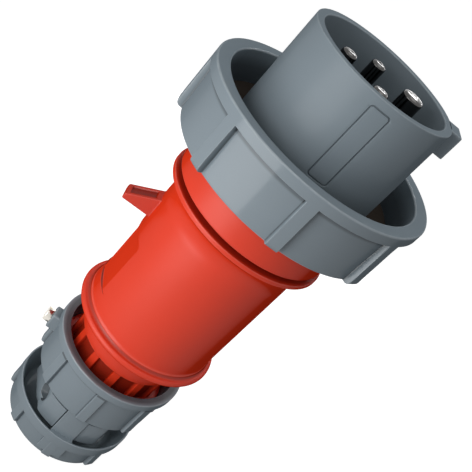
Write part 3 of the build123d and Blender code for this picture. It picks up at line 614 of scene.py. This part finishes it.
def field_relief(a, r, z, edge):
    """Groove along a rounded rectangle on the skin of the sleeve, with shade painted into it.
    The distance to its outline is length(max(q, 0)) + min(max(q), 0) - round, with
    q = |p| - half size + round."""
    across = np.abs((a - FIELD_MIDDLE + np.pi) % (2 * np.pi) - np.pi) * SLEEVE_R
    along = np.abs(z - (FIELD_TOP + FIELD_LOW) / 2)
    qx = across - FIELD_HALF + FIELD_ROUND
    qy = along - (FIELD_TOP - FIELD_LOW) / 2 + FIELD_ROUND
    outside = np.hypot(np.maximum(qx, 0), np.maximum(qy, 0))
    distance = outside + np.minimum(np.maximum(qx, qy), 0) - FIELD_ROUND
    groove = smooth((LINE_HALF + LINE_SOFT - np.abs(distance)) / (2 * LINE_SOFT))
    groove = groove * (r > SLEEVE_R - 0.05)
    return -LINE_DEPTH * groove, edge - groove * LINE_SHADE


def crowded(edge, inward, outward=0.4, step=0.1):
    """Stations from edge - inward to edge + outward, one every step."""
    return np.arange(edge - inward, edge + outward, step)


side = crowded(FIELD_HALF, 1.0)
field = np.concatenate([-side[::-1], np.linspace(-1.9, 1.9, 5), side]) / SLEEVE_R + FIELD_MIDDLE
others = np.linspace(field[-1], field[0] + 2 * np.pi, 150)[1:-1]
sleeve_angles = np.sort(np.concatenate([field, others]) % (2 * np.pi))
inner_r = SLEEVE_R - SLEEVE_WALL
floor_z = TOP - SLEEVE_DEPTH
heights = np.concatenate([
    crowded(FIELD_TOP, 1.0)[::-1], np.linspace(FIELD_TOP - 3, FIELD_LOW + 3, 5),
    2 * FIELD_LOW - crowded(FIELD_LOW, 1.0)])
sleeve = turned("sleeve_skin", [
    (AXIS, floor_z), (inner_r, floor_z, 0.8), (inner_r, TOP, 0.5), (SLEEVE_R, TOP, 0.35),
    *[(SLEEVE_R, z) for z in heights], (SLEEVE_R, COLLAR_TOP + FLANGE_T, 0.4),
    (FLANGE_R, COLLAR_TOP + FLANGE_T, 0.4), (FLANGE_R, COLLAR_TOP, 0.3),
    (GUIDE_R, COLLAR_TOP), (GUIDE_R, COLLAR_TOP - GUIDE_LEN), (AXIS, COLLAR_TOP - GUIDE_LEN),
], angles=sleeve_angles, relief=field_relief)
finish(sleeve, GREY, "root")
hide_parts("contact_shroud")

# %% [markdown]
# The key on the sleeve lets the plug enter its socket in one position only. It is a plain block
# that grows out of the wall, flush with the mouth.

# %% Key
KEY_W, KEY_PROUD, KEY_LEN, KEY_ROOT, KEY_EDGE = 7.8, 3.5, 8.4, 1.4, 0.45
key = soft_block("sleeve_key", (SLEEVE_R - KEY_ROOT, -KEY_W / 2, TOP - KEY_LEN),
                 (SLEEVE_R + KEY_PROUD, KEY_W / 2, TOP), KEY_EDGE)
finish(key, GREY, "root")

# %% [markdown]
# ## Contact pins
# Each pin is turned brass with a domed tip, so that it finds its socket easily. The earth pin
# is thicker and reaches higher, because it has to touch first.

# %% Pins
PITCH_R, PIN_ROOT, TIP_ROUND, DOME = 11.0, 4, 1.1, 0.22
for node, radius, degrees in (("earth_pin", 3.5, 0), ("phase_pin_1", 2.5, 90),
                              ("phase_pin_2", 2.5, 180), ("phase_pin_3", 2.5, 270)):
    tip = high_z(node)
    pin = turned(node + "_skin", [
        (AXIS, floor_z - PIN_ROOT), (radius, floor_z - PIN_ROOT),
        (radius, tip - DOME, TIP_ROUND), (radius * 0.45, tip - 0.04), (AXIS, tip),
    ], angles=even_angles(64))
    at = np.radians(degrees)
    place = Vector((np.cos(at), np.sin(at), 0)) * PITCH_R * MM
    pin.data.transform(Matrix.Translation(place))
    finish(pin, NICKEL, "root")
    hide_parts(node)

# %% [markdown]
# ## The bayonet ring
# A wide ring with a flat front band. Eight ribs stand between recessed panels that run out at
# the rear edge. Rib and panel are one grid: the panel radius plus a mask for each rib.

# %% Bayonet ring
RING_R, PANEL_R, PANEL_FOOT_R, BORE_R, BAND = 39.7, 38.0, 37.4, 34.9, 3.5
WEB_R, WEB_LOW, WEB_TOP = 28.1, RING_LOW + 2.0, RING_LOW + 5.0
RIBS, RIB_HALF, RIB_SOFT, RIB_FOOT = 8, 2.1 / RING_R, 0.13 / RING_R, 1.6
STEP_Z = RING_TOP - BAND
UNDER_SHADE, BORE_SHADE, BORE_FADE = 0.7, 0.8, 6.0


def ring_relief(a, r, z, edge):
    """Raises the outer wall below the band to the rib's crest where the mask is 1. The edge
    mask goes down for painted shade under the band and in the bore, and carries the ribs'
    paler crests and shaded feet."""
    outside = r > PANEL_FOOT_R - 0.3
    wall = outside & (z < STEP_Z + 0.3)
    mask = rib_mask(a, RIBS, RIB_HALF, RIB_SOFT)
    crest = RING_R - foot_round(z, RING_LOW, RIB_FOOT)
    flank = rib_highlight_and_shade(a, RIBS, RIB_HALF, RIB_SOFT) * wall * (z < STEP_Z - 0.02)
    under = shade_under_step(z, STEP_Z, RING_R - PANEL_R) * (1 - mask) * outside
    bore = smooth((RING_TOP - 0.8 - z) / BORE_FADE) * (r < BORE_R + 0.1)
    edge = edge * (1 - mask * wall) + flank - UNDER_SHADE * under - BORE_SHADE * bore
    return np.maximum(crest - r, 0) * mask * wall, edge


ring_wall = [(PANEL_FOOT_R + (PANEL_R - PANEL_FOOT_R) * t, RING_LOW + (STEP_Z - RING_LOW) * t)
             for t in (0.04, 0.055, 0.075, 0.1, 0.13, 0.3, 0.6, 0.88, 0.9, 0.92, 0.94, 0.96)]
ring = turned("bayonet_ring_skin", [
    (BORE_R, RING_LOW, 0.3), (PANEL_FOOT_R, RING_LOW, 0.4), *ring_wall,
    (PANEL_R, STEP_Z, 0.3), (RING_R, STEP_Z, 0.2), (RING_R, RING_TOP, 0.6),
    (BORE_R, RING_TOP, 0.6), (BORE_R, WEB_TOP, 1.5), (WEB_R, WEB_TOP, 0.3),
    (WEB_R, WEB_LOW, 0.3), (BORE_R, WEB_LOW, 0.5),
], angles=rib_angles(RIBS, RIB_HALF, RIB_SOFT, 18), relief=ring_relief, step=2.0)
finish(ring, GREY_RING, "bayonet_ring")
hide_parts("bayonet_ring")

# %% [markdown]
# Two sloping ramps inside the ring draw in the studs of the socket. Each is a block bent round
# the bore, whose height rises with the angle.

# %% Ramps in the ring
RAMP_SPAN, RAMP_RISE = 64.0, 3.2
RAMP_IN, RAMP_OUT, RAMP_LOW, RAMP_TOP = 32.1, 36.0, RING_TOP - 7.6, RING_TOP - 4.6


def ramp_bend(p):
    """(radius, degrees, height) to (x, y, z), the height rising with the angle."""
    p = p.copy()
    p[:, 2] += (p[:, 1] % 180 - 90) / RAMP_SPAN * RAMP_RISE
    return round_plug(p)


for i, middle in enumerate((90.0, 270.0)):
    ramp = soft_block(f"bayonet_ramp_{i}", (RAMP_IN, middle - RAMP_SPAN / 2, RAMP_LOW),
                      (RAMP_OUT, middle + RAMP_SPAN / 2, RAMP_TOP), 0.5, ramp_bend, cells=24)
    finish(ramp, GREY_RING, "bayonet_ring")

# %% [markdown]
# ## Collar and handle
# The red collar disappears under the ring. A gap with shade painted into it parts it from the
# thin lip of the handle, and from that lip the handle falls away in a hollow curve.

# %% Collar
COLLAR_R, COLLAR_LOW, GAP_SHADE = 27.8, LIP_TOP + 1.5, 0.5
TUBE_R, PLUG_R, SOCKET_R, SOCKET_TOP = 20.0, 21.3, 24.6, LIP_TOP - 3.4


def gap_shade(a, r, z, edge):
    """Paints shade on the floor and the walls of the gap below the collar."""
    inside = smooth((COLLAR_R - 0.3 - r) / 0.8) * (z < COLLAR_LOW + 0.1) * (z > LIP_TOP - 1)
    return 0 * r, edge - GAP_SHADE * inside


collar = turned("collar_skin", [
    (TUBE_R, LIP_TOP - 11), (PLUG_R, LIP_TOP - 11), (PLUG_R, SOCKET_TOP),
    (SOCKET_R, SOCKET_TOP), (SOCKET_R, COLLAR_LOW), (COLLAR_R, COLLAR_LOW, 0.5),
    (COLLAR_R, COLLAR_TOP), (25.0, COLLAR_TOP), (25.0, COLLAR_TOP - 12),
    (TUBE_R, COLLAR_TOP - 12),
], relief=gap_shade, step=1.0)
finish(collar, RED, "root")
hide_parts("front_collar")

# %% [markdown]
# The handle's outline follows the mould: lip, hollow cove, a long slightly tapered grip, a thin
# ridge, and the rear bead behind a narrow valley. Two shallow flats lie in line with the nose,
# and a fine step closes them at the rear.

# %% Handle
LIP_R, COVE_R, FRONT_R, REAR_R, BEAD_R = 28.7, 27.8, 24.4, 24.0, 26.5
HANDLE_LOW = LIP_TOP - 57.5
LIP_LOW, COVE_LOW = LIP_TOP - 1.5, LIP_TOP - 10.5
BEAD_TOP, RIDGE_Z, RIDGE_R = HANDLE_LOW + 2.4, HANDLE_LOW + 3.8, 24.32
FLAT_DEG, FLAT_LOW, FLAT_TOP = 13.5, HANDLE_LOW + 9.0, HANDLE_LOW + 30.0
LINE_DROP, LINE_REACH, VALLEY_Z = 0.3, 14.0, (BEAD_TOP + RIDGE_Z) / 2 - 0.1
NECK_R, NECK_LOW, NECK_TOP = 16.9, SPIGOT_LOW + 6, HANDLE_LOW - 10.2
NECK_RIBS, NECK_RIB_HALF, NECK_RIB_SOFT, NECK_RIB_H = 12, 1.5 / 18.4, 0.2 / 18.4, 1.5
VALLEY_SHADE, LIP_SHADE, NECK_SHADE = 0.6, 0.8, 0.75


def handle_relief(a, r, z, edge):
    """Two flats beside the line of the nose, their closing line, and ribs round the neck.
    The edge mask gets painted shade in the closing line, in the valley, on and under the lip and
    between the ribs, and a painted highlight along the ridge."""
    outside = r > REAR_R - 1
    chord_r = (REAR_R - 0.06) * np.cos(np.radians(FLAT_DEG))
    span = smooth((z - FLAT_LOW) / 0.3) * smooth((FLAT_TOP + 1.2 - z) / 2.4)
    flat = np.zeros_like(r)
    for sign in (-1, 1):
        off = (a - np.pi - sign * np.radians(FLAT_DEG) + np.pi) % (2 * np.pi) - np.pi
        chord = chord_r / np.cos(np.clip(off, -1, 1))
        cut = np.minimum(chord - r, 0) * span * (np.abs(off) < 0.5) * outside
        flat = np.minimum(flat, cut)
    from_nose = np.abs(a - np.pi) * REAR_R
    line = band(z, FLAT_LOW, 0.24, 0.16) * smooth((LINE_REACH - from_nose) / 2.0) * outside
    neck = (z < NECK_TOP - 0.05) & (z > NECK_LOW + 0.4) & (np.abs(r - NECK_R) < 0.3)
    rib = rib_mask(a, NECK_RIBS, NECK_RIB_HALF, NECK_RIB_SOFT) * neck
    valley = band(z, VALLEY_Z, 0.7, 0.5) * outside
    ridge = band(z, RIDGE_Z, 0.24, 0.16) * outside
    lip_top = smooth((LIP_R - 0.5 - r) / 0.8) * (z > LIP_TOP - 0.5)
    under_lip = band(z, LIP_LOW - 0.5, 0.8, 0.4) * (r > 25) * (r < COVE_R + 0.05)
    # painted shade, less a painted highlight along the ridge
    shade = (line + VALLEY_SHADE * valley + GAP_SHADE * lip_top + LIP_SHADE * under_lip
             + NECK_SHADE * (neck - rib) - ridge)
    return flat - LINE_DROP * line + NECK_RIB_H * rib, edge - shade


grip_z = np.concatenate([np.linspace(*run) for run in (
    (COVE_LOW - 1, FLAT_TOP + 2, 9), (FLAT_TOP + 1.4, FLAT_TOP - 1.4, 8),
    (FLAT_TOP - 3, FLAT_LOW + 1.2, 9), (FLAT_LOW + 0.6, FLAT_LOW - 0.5, 12),
    (FLAT_LOW - 1.2, RIDGE_Z + 0.9, 4))])
grip = [(REAR_R + (FRONT_R - REAR_R) * (z - RIDGE_Z) / (COVE_LOW - RIDGE_Z), z) for z in grip_z]
belly = (FRONT_R + 0.3 * (COVE_R - FRONT_R), LIP_LOW - 3.06)
handle_angles = np.unique(np.round(np.concatenate([
    rib_angles(NECK_RIBS, NECK_RIB_HALF, NECK_RIB_SOFT, 10),
    np.pi + np.linspace(-0.62, 0.62, 63)]), 4))
handle = turned("handle_skin", [
    (24.8, LIP_TOP, 0.3), (LIP_R, LIP_TOP, 0.35), (LIP_R, LIP_LOW, 0.15), (COVE_R, LIP_LOW, 0.2),
    *arc_through((COVE_R, LIP_LOW), belly, (FRONT_R, COVE_LOW), 14)[1:],
    *grip, (REAR_R + 0.05, RIDGE_Z + 0.35), (RIDGE_R, RIDGE_Z, 0.1),
    *arc_through((RIDGE_R + 0.02, RIDGE_Z - 0.25), (24.75, BEAD_TOP + 0.3), (25.5, BEAD_TOP), 7),
    *arc_through((25.55, BEAD_TOP), (BEAD_R, HANDLE_LOW + 1.2), (25.5, HANDLE_LOW), 11),
    (19.0, HANDLE_LOW, 0.8), (19.0, NECK_TOP, 0.7), (NECK_R, NECK_TOP, 0.2), (NECK_R, NECK_LOW),
    (20.6, NECK_LOW, 0.4), (20.6, SPIGOT_LOW, 0.4), (15.2, SPIGOT_LOW, 0.3), (15.2, HANDLE_LOW),
    (21.4, HANDLE_LOW + 5), (21.4, LIP_TOP - 3.5), (24.8, LIP_TOP - 3.5),
], angles=handle_angles, relief=handle_relief, step=1.5)
finish(handle, RED, "root")
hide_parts("handle_housing")

# %% [markdown]
# ## The retaining nose
# The lid of a socket hooks behind this nose. Its front slopes from the grip to the tip and
# carries a shallow trough. It could be an extruded outline, but a loft of rounded sections
# also gives the fillet where it grows out of the handle.

# %% Retaining nose
NOSE_HALF, NOSE_CORNER, NOSE_FILLET = 3.3, 0.35, 0.6
NOSE_LOW, NOSE_TIP, NOSE_ROOT = HANDLE_LOW + 36.4, HANDLE_LOW + 38.4, HANDLE_LOW + 44.7
NOSE_REACH, NOSE_ROOT_R, SKIN_R = 34.4, 22.7, 23.9
TROUGH_HALF, TROUGH_DEPTH, TROUGH_IN, TROUGH_OUT = 2.1, 0.6, 25.6, 33.2
# shade painted over the whole nose, and more of it in the trough
NOSE_SHADE, TROUGH_SHADE = 0.3, 0.5


def nose_section():
    """Points once round a unit section: (side -1..1, height 0..1, corner offset y and z)."""
    quarter = np.linspace(0, np.pi / 2, 5)
    top = np.array([1, 0.9, 0.8, 0.76, 0.72, 0.68, 0.64, 0.5, 0.25, 0, -0.25, -0.5, -0.64,
                    -0.68, -0.72, -0.76, -0.8, -0.9, -1])
    up, down = np.linspace(0, 1, 6)[1:-1], np.linspace(1, 0, 6)[1:-1]
    zero = np.zeros
    return np.concatenate([
        np.stack([top, top * 0 + 1, zero(19), top * 0 + 1], 1),
        np.stack([-np.ones(5), np.ones(5), -np.sin(quarter), np.cos(quarter)], 1)[1:],
        np.stack([-np.ones(4), down, -np.ones(4), zero(4)], 1),
        np.stack([-np.ones(5), zero(5), -np.cos(quarter), -np.sin(quarter)], 1)[:-1],
        np.stack([np.linspace(-1, 1, 9), zero(9), zero(9), -np.ones(9)], 1),
        np.stack([np.ones(5), zero(5), np.sin(quarter), -np.cos(quarter)], 1)[1:],
        np.stack([np.ones(4), up, np.ones(4), zero(4)], 1),
        np.stack([np.ones(5), np.ones(5), np.cos(quarter), np.sin(quarter)], 1)[:-1]])


def nose_rows(reach, inset):
    """Sections at each reach. The fillet widens them by f = R - sqrt(R^2 - (R - d)^2), where d
    is the distance from the handle's skin; the trough sinks the sloping front. The fourth
    value is the edge mask: painted shade over the whole nose, deeper in the trough."""
    side, height, corner_y, corner_z = nose_section().T[:, None, :]
    reach, inset = reach[:, None], inset[:, None]
    d = np.clip(reach - SKIN_R, 0, NOSE_FILLET)
    f = NOSE_FILLET - np.sqrt(NOSE_FILLET ** 2 - (NOSE_FILLET - d) ** 2) - inset
    slope = (NOSE_REACH - reach) / (NOSE_REACH - NOSE_ROOT_R)
    z_high = NOSE_TIP + (NOSE_ROOT - NOSE_TIP) * slope + f - NOSE_CORNER
    z_low = NOSE_LOW - f + NOSE_CORNER
    y = side * (NOSE_HALF + f - NOSE_CORNER) + corner_y * NOSE_CORNER
    z = z_low + (z_high - z_low) * height + corner_z * NOSE_CORNER
    within = smooth((TROUGH_HALF + 0.15 - np.abs(y)) / 0.3) * (height > 0.99) * (corner_z > 0.9)
    along = smooth((reach - TROUGH_IN) / 0.4) * smooth((TROUGH_OUT - reach) / 0.4)
    sunk = within * along
    mask = -NOSE_SHADE - TROUGH_SHADE * sunk
    return np.stack([-reach + 0 * y, y, z - TROUGH_DEPTH * sunk, mask + 0 * y], -1)


reach = np.concatenate([[22.6, 23.4], SKIN_R + NOSE_FILLET * np.linspace(0, 1, 8) ** 1.6,
                        TROUGH_IN + np.linspace(0, 0.4, 4), np.linspace(26.6, 32.2, 6),
                        TROUGH_OUT - np.linspace(0.4, 0, 4), [33.6, 34.05], [34.2, 34.32, 34.4]])
inset = np.concatenate([np.zeros(len(reach) - 3), [0.04, 0.14, 0.32]])
rows = nose_rows(reach, inset)
ends = [rows[i].mean(0) + (rows[i] - rows[i].mean(0)) * k
        for i, k in ((0, 0.01), (-1, 0.5), (-1, 0.01))]
loft = np.concatenate([ends[:1], rows, ends[1:]]).transpose(1, 0, 2)
nose = close_seams(grid_mesh("retaining_nose_skin", loft[..., :3], loft[..., 3], closed=False))
finish(nose, RED, "root")

# %% [markdown]
# ## The cable gland
# The nut, its two bridges and the rear ring are one moulding. Nut and ring are turned grids
# with ribs; the bridges, lands and boss are soft blocks bent round the axis.

# %% Gland nut
NUT_R, NUT_PANEL, NUT_RIB, NUT_BAND, NUT_H = 24.6, 23.1, 24.3, 2.9, 18.1
NUT_LOW = NUT_MOUTH - NUT_H
BAND_PROUD, PANEL_LEAN, FOOT_SIZE = 1.5, 0.3, 0.9
NUT_RIBS, NRIB_HALF, NRIB_SOFT = 8, 1.75 / NUT_RIB, 0.13 / NUT_RIB
NUT_BORE, THREAD_R, MOUTH_SHADE = 21.3, 20.9, 0.85


def gland_relief(panel, crest, top, foot):
    """Relief for the ribs between the heights foot and top, on a wall of radius panel. The
    edge mask goes down for painted shade under the band and inside the mouth, less on the rim
    than in the bore."""
    def relief(a, r, z, edge):
        outside = r > panel - 0.6
        wall = outside & (z < top) & (z > foot)
        mask = rib_mask(a, NUT_RIBS, NRIB_HALF, NRIB_SOFT)
        rise = np.maximum(crest - foot_round(z, foot, FOOT_SIZE) - r, 0)
        flank = rib_highlight_and_shade(a, NUT_RIBS, NRIB_HALF, NRIB_SOFT) * wall * (z < top - 0.03)
        under = shade_under_step(z, top, BAND_PROUD) * (1 - mask) * outside
        # painted shade on the rim and in the bore of the nut's mouth
        mouth = (z > NUT_MOUTH - 4) * smooth((NUT_R - 0.4 - r) / 0.6)
        shade_in_mouth = mouth * (MOUTH_SHADE + (1 - MOUTH_SHADE) * (r < NUT_BORE + 0.1))
        return rise * mask * wall, edge * (1 - mask * wall) + flank - shade_in_mouth - UNDER_SHADE * under
    return relief


def gland_wall(panel, low, height, shares):
    """Panel that leans in towards its foot, with stations at the given shares of its height."""
    return [(panel - PANEL_LEAN * (1 - s), low + height * s) for s in shares]


gland_angles = rib_angles(NUT_RIBS, NRIB_HALF, NRIB_SOFT, 16)
nut = turned("gland_nut_skin", [
    (12.0, NUT_LOW), (NUT_PANEL - PANEL_LEAN, NUT_LOW, 0.3),
    *gland_wall(NUT_PANEL, NUT_LOW, NUT_H - NUT_BAND, (
        0.025, 0.03, 0.04, 0.055, 0.075, 0.09, 0.2, 0.5, 0.88, 0.9, 0.92, 0.94, 0.97)),
    (NUT_PANEL, NUT_MOUTH - NUT_BAND, 0.25), (NUT_R, NUT_MOUTH - NUT_BAND, 0.2),
    (NUT_R, NUT_MOUTH, 0.45), (NUT_BORE, NUT_MOUTH, 0.4), (NUT_BORE, NUT_MOUTH - 2.0),
    (THREAD_R, NUT_MOUTH - 3.0), (THREAD_R, NUT_LOW + 2.5), (12.0, NUT_LOW + 2.5),
], angles=gland_angles, step=2.0,
    relief=gland_relief(NUT_PANEL, NUT_RIB, NUT_MOUTH - NUT_BAND + 0.01, NUT_LOW + 0.4))
finish(nut, GREY_RING, "gland_nut")
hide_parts("gland_nut")

# %% Rear ring
REAR_R2, REAR_PANEL, REAR_TOP, REAR_BAND = 23.3, 21.8, 12.7, 4.0
REAR_STEP = REAR_TOP - REAR_BAND
rear = turned("rear_ring_skin", [
    (11.0, 0, 0.8), (REAR_PANEL - PANEL_LEAN, 0, 0.8),
    *gland_wall(REAR_PANEL, 0, REAR_STEP, (
        0.145, 0.155, 0.17, 0.2, 0.24, 0.3, 0.6, 0.78, 0.82, 0.86, 0.9, 0.95)),
    (REAR_PANEL, REAR_STEP, 0.2), (REAR_R2, REAR_STEP, 0.2), (REAR_R2, REAR_TOP, 0.28),
    (22.7, REAR_TOP, 0.2), (18.5, 3.2), (11.0, 3.2, 0.8),
], angles=gland_angles, step=2.0,
    relief=gland_relief(REAR_PANEL, REAR_R2 - 0.1, REAR_STEP + 0.01, 1.3))
finish(rear, GREY_RING, "gland_nut")

# %% [markdown]
# The bridges tie the nut to the rear ring and leave the two windows in which the jaws show. The
# boss carries the small screw that keeps the nut from working loose.

# %% Bridges, lands and boss
BRIDGE_IN, BRIDGE_R, BRIDGE_HALF_DEG, BRIDGE_EDGE = 19.2, 21.5, 11.5, 0.25
for i, middle in enumerate((90.0, 270.0)):
    first, last = middle - BRIDGE_HALF_DEG, middle + BRIDGE_HALF_DEG
    bridge = soft_block(f"gland_bridge_{i}", (BRIDGE_IN, first, REAR_TOP - 1.0),
                        (BRIDGE_R, last, NUT_LOW + 1.0), BRIDGE_EDGE, round_plug, cells=16)
    finish(bridge, GREY_RING, "gland_nut")
    land = soft_block(f"gland_land_{i}", (BRIDGE_IN, first, 3.4),
                      (REAR_R2 - 0.15, last, REAR_TOP), BRIDGE_EDGE, round_plug, cells=16)
    finish(land, GREY_RING, "gland_nut")
BOSS_LOW = NUT_LOW + 8.0
boss = soft_block("lock_boss", (-26.5, -2.9, BOSS_LOW), (-22.1, 2.9, BOSS_LOW + 6.2), 0.5)
finish(boss, GREY_RING, "gland_nut")

# %% [markdown]
# ## Hardware and hidden pieces
# The jaws and screws are copies of the modelled ones with fine bevels. What shows only from
# inside keeps its node and gets a finish.

# %% Jaws and screws
for node, bevel, body, material, slot in (
        ("clamp_jaw_left", 0.25, "jaw_left", GREY_RING, "grey_shell"),
        ("clamp_jaw_right", 0.25, "jaw_right", GREY_RING, "grey_shell"),
        ("clamp_screw_near", 0.12, "screw_near", ZINC, "zinc_screw"),
        ("clamp_screw_far", 0.12, "screw_far", ZINC, "zinc_screw"),
        ("clamp_nuts", 0.2, "jaw_right", ZINC, "zinc_screw"),
        ("lock_screw", 0.15, "lock_screw", SCREW_NICKEL, "nickel_screw")):
    piece = dressed(node, bevel, body)
    piece.data.materials.append(material)
    print(piece.name, len(piece.data.polygons), "faces")

# %% Finishes of the hidden pieces
for node, material in (
        ("shroud_gasket", RUBBER), ("collar_oring", RUBBER), ("cable_seal", RUBBER),
        ("terminal_block", GREY_DARK), ("thrust_washer", GREY_DARK),
        ("terminal_screws", ZINC), ("block_screw", ZINC), ("insert_screws", ZINC)):
    for mesh_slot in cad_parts[node].material_slots:
        mesh_slot.material = material
    print(node, "wears", material.name)

# %% [markdown]
# ## Camera
# The camera stands where the photograph was taken from: beside the sleeve, looking down, and
# rolled, so that the standing plug runs from lower left to upper right.

# %% Camera
CAMERA_AT = Vector((-57.843, -221.667, 226.516))
AIM = Vector((1.376, -0.368, 104.917))
ROLL = np.radians(43.75)

camera_data = bpy.data.cameras.new("camera")
camera_data.lens = 62.82
camera_data.clip_start = 0.01
camera = bpy.data.objects.new("camera", camera_data)
bpy.context.scene.collection.objects.link(camera)
turn = (AIM - CAMERA_AT).to_track_quat("-Z", "Y").to_matrix() @ Matrix.Rotation(ROLL, 3, "Z")
camera.matrix_world = Matrix.Translation(CAMERA_AT * MM) @ turn.to_4x4()
bpy.context.scene.camera = camera
print("camera at", [round(c) for c in CAMERA_AT], "mm")

# %% [markdown]
# ## Light and backdrop
# One tall soft box stands close beside the plug. Its upright edges run along the axis, so they
# draw a firm edge of reflection on the ring and the nut. A second box above lights the faces
# that look up, and a third one lights the far side. Two small ones only draw glints on the
# tips of the pins. Each box is placed by its direction round the plug.

# %% Lights
def softbox(name, azimuth, distance, middle_z, width, height, watts, aim_z=None):
    """Area light at (distance, azimuth, middle_z), turned towards the axis at aim_z."""
    data = bpy.data.lights.new(name, "AREA")
    data.shape = "RECTANGLE"
    data.size, data.size_y = width * MM, height * MM
    data.energy = watts
    light = bpy.data.objects.new(name, data)
    bpy.context.scene.collection.objects.link(light)
    a = np.radians(azimuth)
    place = Vector((distance * np.cos(a), distance * np.sin(a), middle_z)) * MM
    target = Vector((0, 0, middle_z if aim_z is None else aim_z)) * MM
    face = (target - place).to_track_quat("-Z", "Y").to_matrix()
    light.matrix_world = Matrix.Translation(place) @ face.to_4x4()
    print(name, "of", width, "by", height, "mm,", watts, "W")


softbox("key_box", -134, 190, 115, 150, 220, 0.29)
softbox("top_box", -60, 60, 560, 300, 300, 0.46, aim_z=100)
softbox("back_box", 75, 300, 100, 200, 220, 0.28)
softbox("tip_glint", 75, 246, 295, 70, 36, 0.09, aim_z=164)
softbox("tip_spark", 50, 235, 250, 20, 20, 0.02, aim_z=164)

# %% [markdown]
# The floor and the world look white to the camera, in metal and in glass, but light the plug
# only softly. So the picture's ground is white while the colours keep their depth. The floor
# keeps its diffuse part too, which carries the soft shadow. Under the plug's foot its glow is
# cut out, a painted shadow, so the bore of the gland stays dark inside.

# %% Floor
FLOOR_HALF = 6.0                  # metres
FLOOR_GLOW, FOOT_R = 0.9, 18.0


def white_for_views(tree):
    """1 for camera, glossy and transmission rays, 0 for the rays that light the plug."""
    path = tree.nodes.new("ShaderNodeLightPath")
    seen = path.outputs["Is Camera Ray"]
    for kind in ("Is Glossy Ray", "Is Transmission Ray"):
        seen = calc(tree, "MAXIMUM", seen, path.outputs[kind])
    return seen


def paper_floor():
    """Material of the floor: diffuse everywhere, and glowing outside the plug's foot; the dark
    disc under the foot is a painted shadow.
    """
    material = bpy.data.materials.new("paper_floor")
    material.use_nodes = True
    tree = material.node_tree
    tree.nodes.clear()
    link = tree.links.new
    place = add(tree, "ShaderNodeTexCoord")
    length = add(tree, "ShaderNodeVectorMath", operation="LENGTH")
    link(place.outputs["Object"], length.inputs[0])
    # no glow within FOOT_R of the axis: a painted shadow under the foot
    clear = add(tree, "ShaderNodeMapRange", From_Min=FOOT_R * MM, From_Max=(FOOT_R + 1) * MM)
    link(length.outputs["Value"], clear.inputs["Value"])
    white = calc(tree, "MULTIPLY", white_for_views(tree), FLOOR_GLOW)
    glow = add(tree, "ShaderNodeEmission")
    link(calc(tree, "MULTIPLY", white, clear.outputs["Result"]), glow.inputs["Strength"])
    matt = add(tree, "ShaderNodeBsdfDiffuse", Color=(0.35, 0.35, 0.35, 1))
    both = add(tree, "ShaderNodeAddShader")
    link(matt.outputs[0], both.inputs[0])
    link(glow.outputs[0], both.inputs[1])
    link(both.outputs[0], add(tree, "ShaderNodeOutputMaterial").inputs["Surface"])
    return material


corners = [(-FLOOR_HALF, -FLOOR_HALF, 0), (FLOOR_HALF, -FLOOR_HALF, 0),
           (FLOOR_HALF, FLOOR_HALF, 0), (-FLOOR_HALF, FLOOR_HALF, 0)]
floor_mesh = bpy.data.meshes.new("floor")
floor_mesh.from_pydata(corners, [], [(0, 1, 2, 3)])
floor = bpy.data.objects.new("floor", floor_mesh)
bpy.context.scene.collection.objects.link(floor)
floor.data.materials.append(paper_floor())
print("floor glows outside a radius of", FOOT_R, "mm")

# %% World
WORLD_LIGHT = 0.31


def studio_world():
    """World that lights the plug softly and looks white."""
    world = bpy.data.worlds.new("studio")
    world.use_nodes = True
    sky = world.node_tree
    sky.nodes.clear()
    soft = add(sky, "ShaderNodeBackground", Color=(0.97, 0.98, 1.0, 1), Strength=WORLD_LIGHT)
    white = add(sky, "ShaderNodeBackground", Color=(1, 1, 1, 1), Strength=1.0)
    pick = add(sky, "ShaderNodeMixShader")
    sky.links.new(white_for_views(sky), pick.inputs["Fac"])
    sky.links.new(soft.outputs[0], pick.inputs[1])
    sky.links.new(white.outputs[0], pick.inputs[2])
    sky.links.new(pick.outputs[0], add(sky, "ShaderNodeOutputWorld").inputs["Surface"])
    return world


bpy.context.scene.world = studio_world()
bpy.context.scene.view_settings.view_transform = "Standard"
print("world lights at", WORLD_LIGHT, "and looks white")
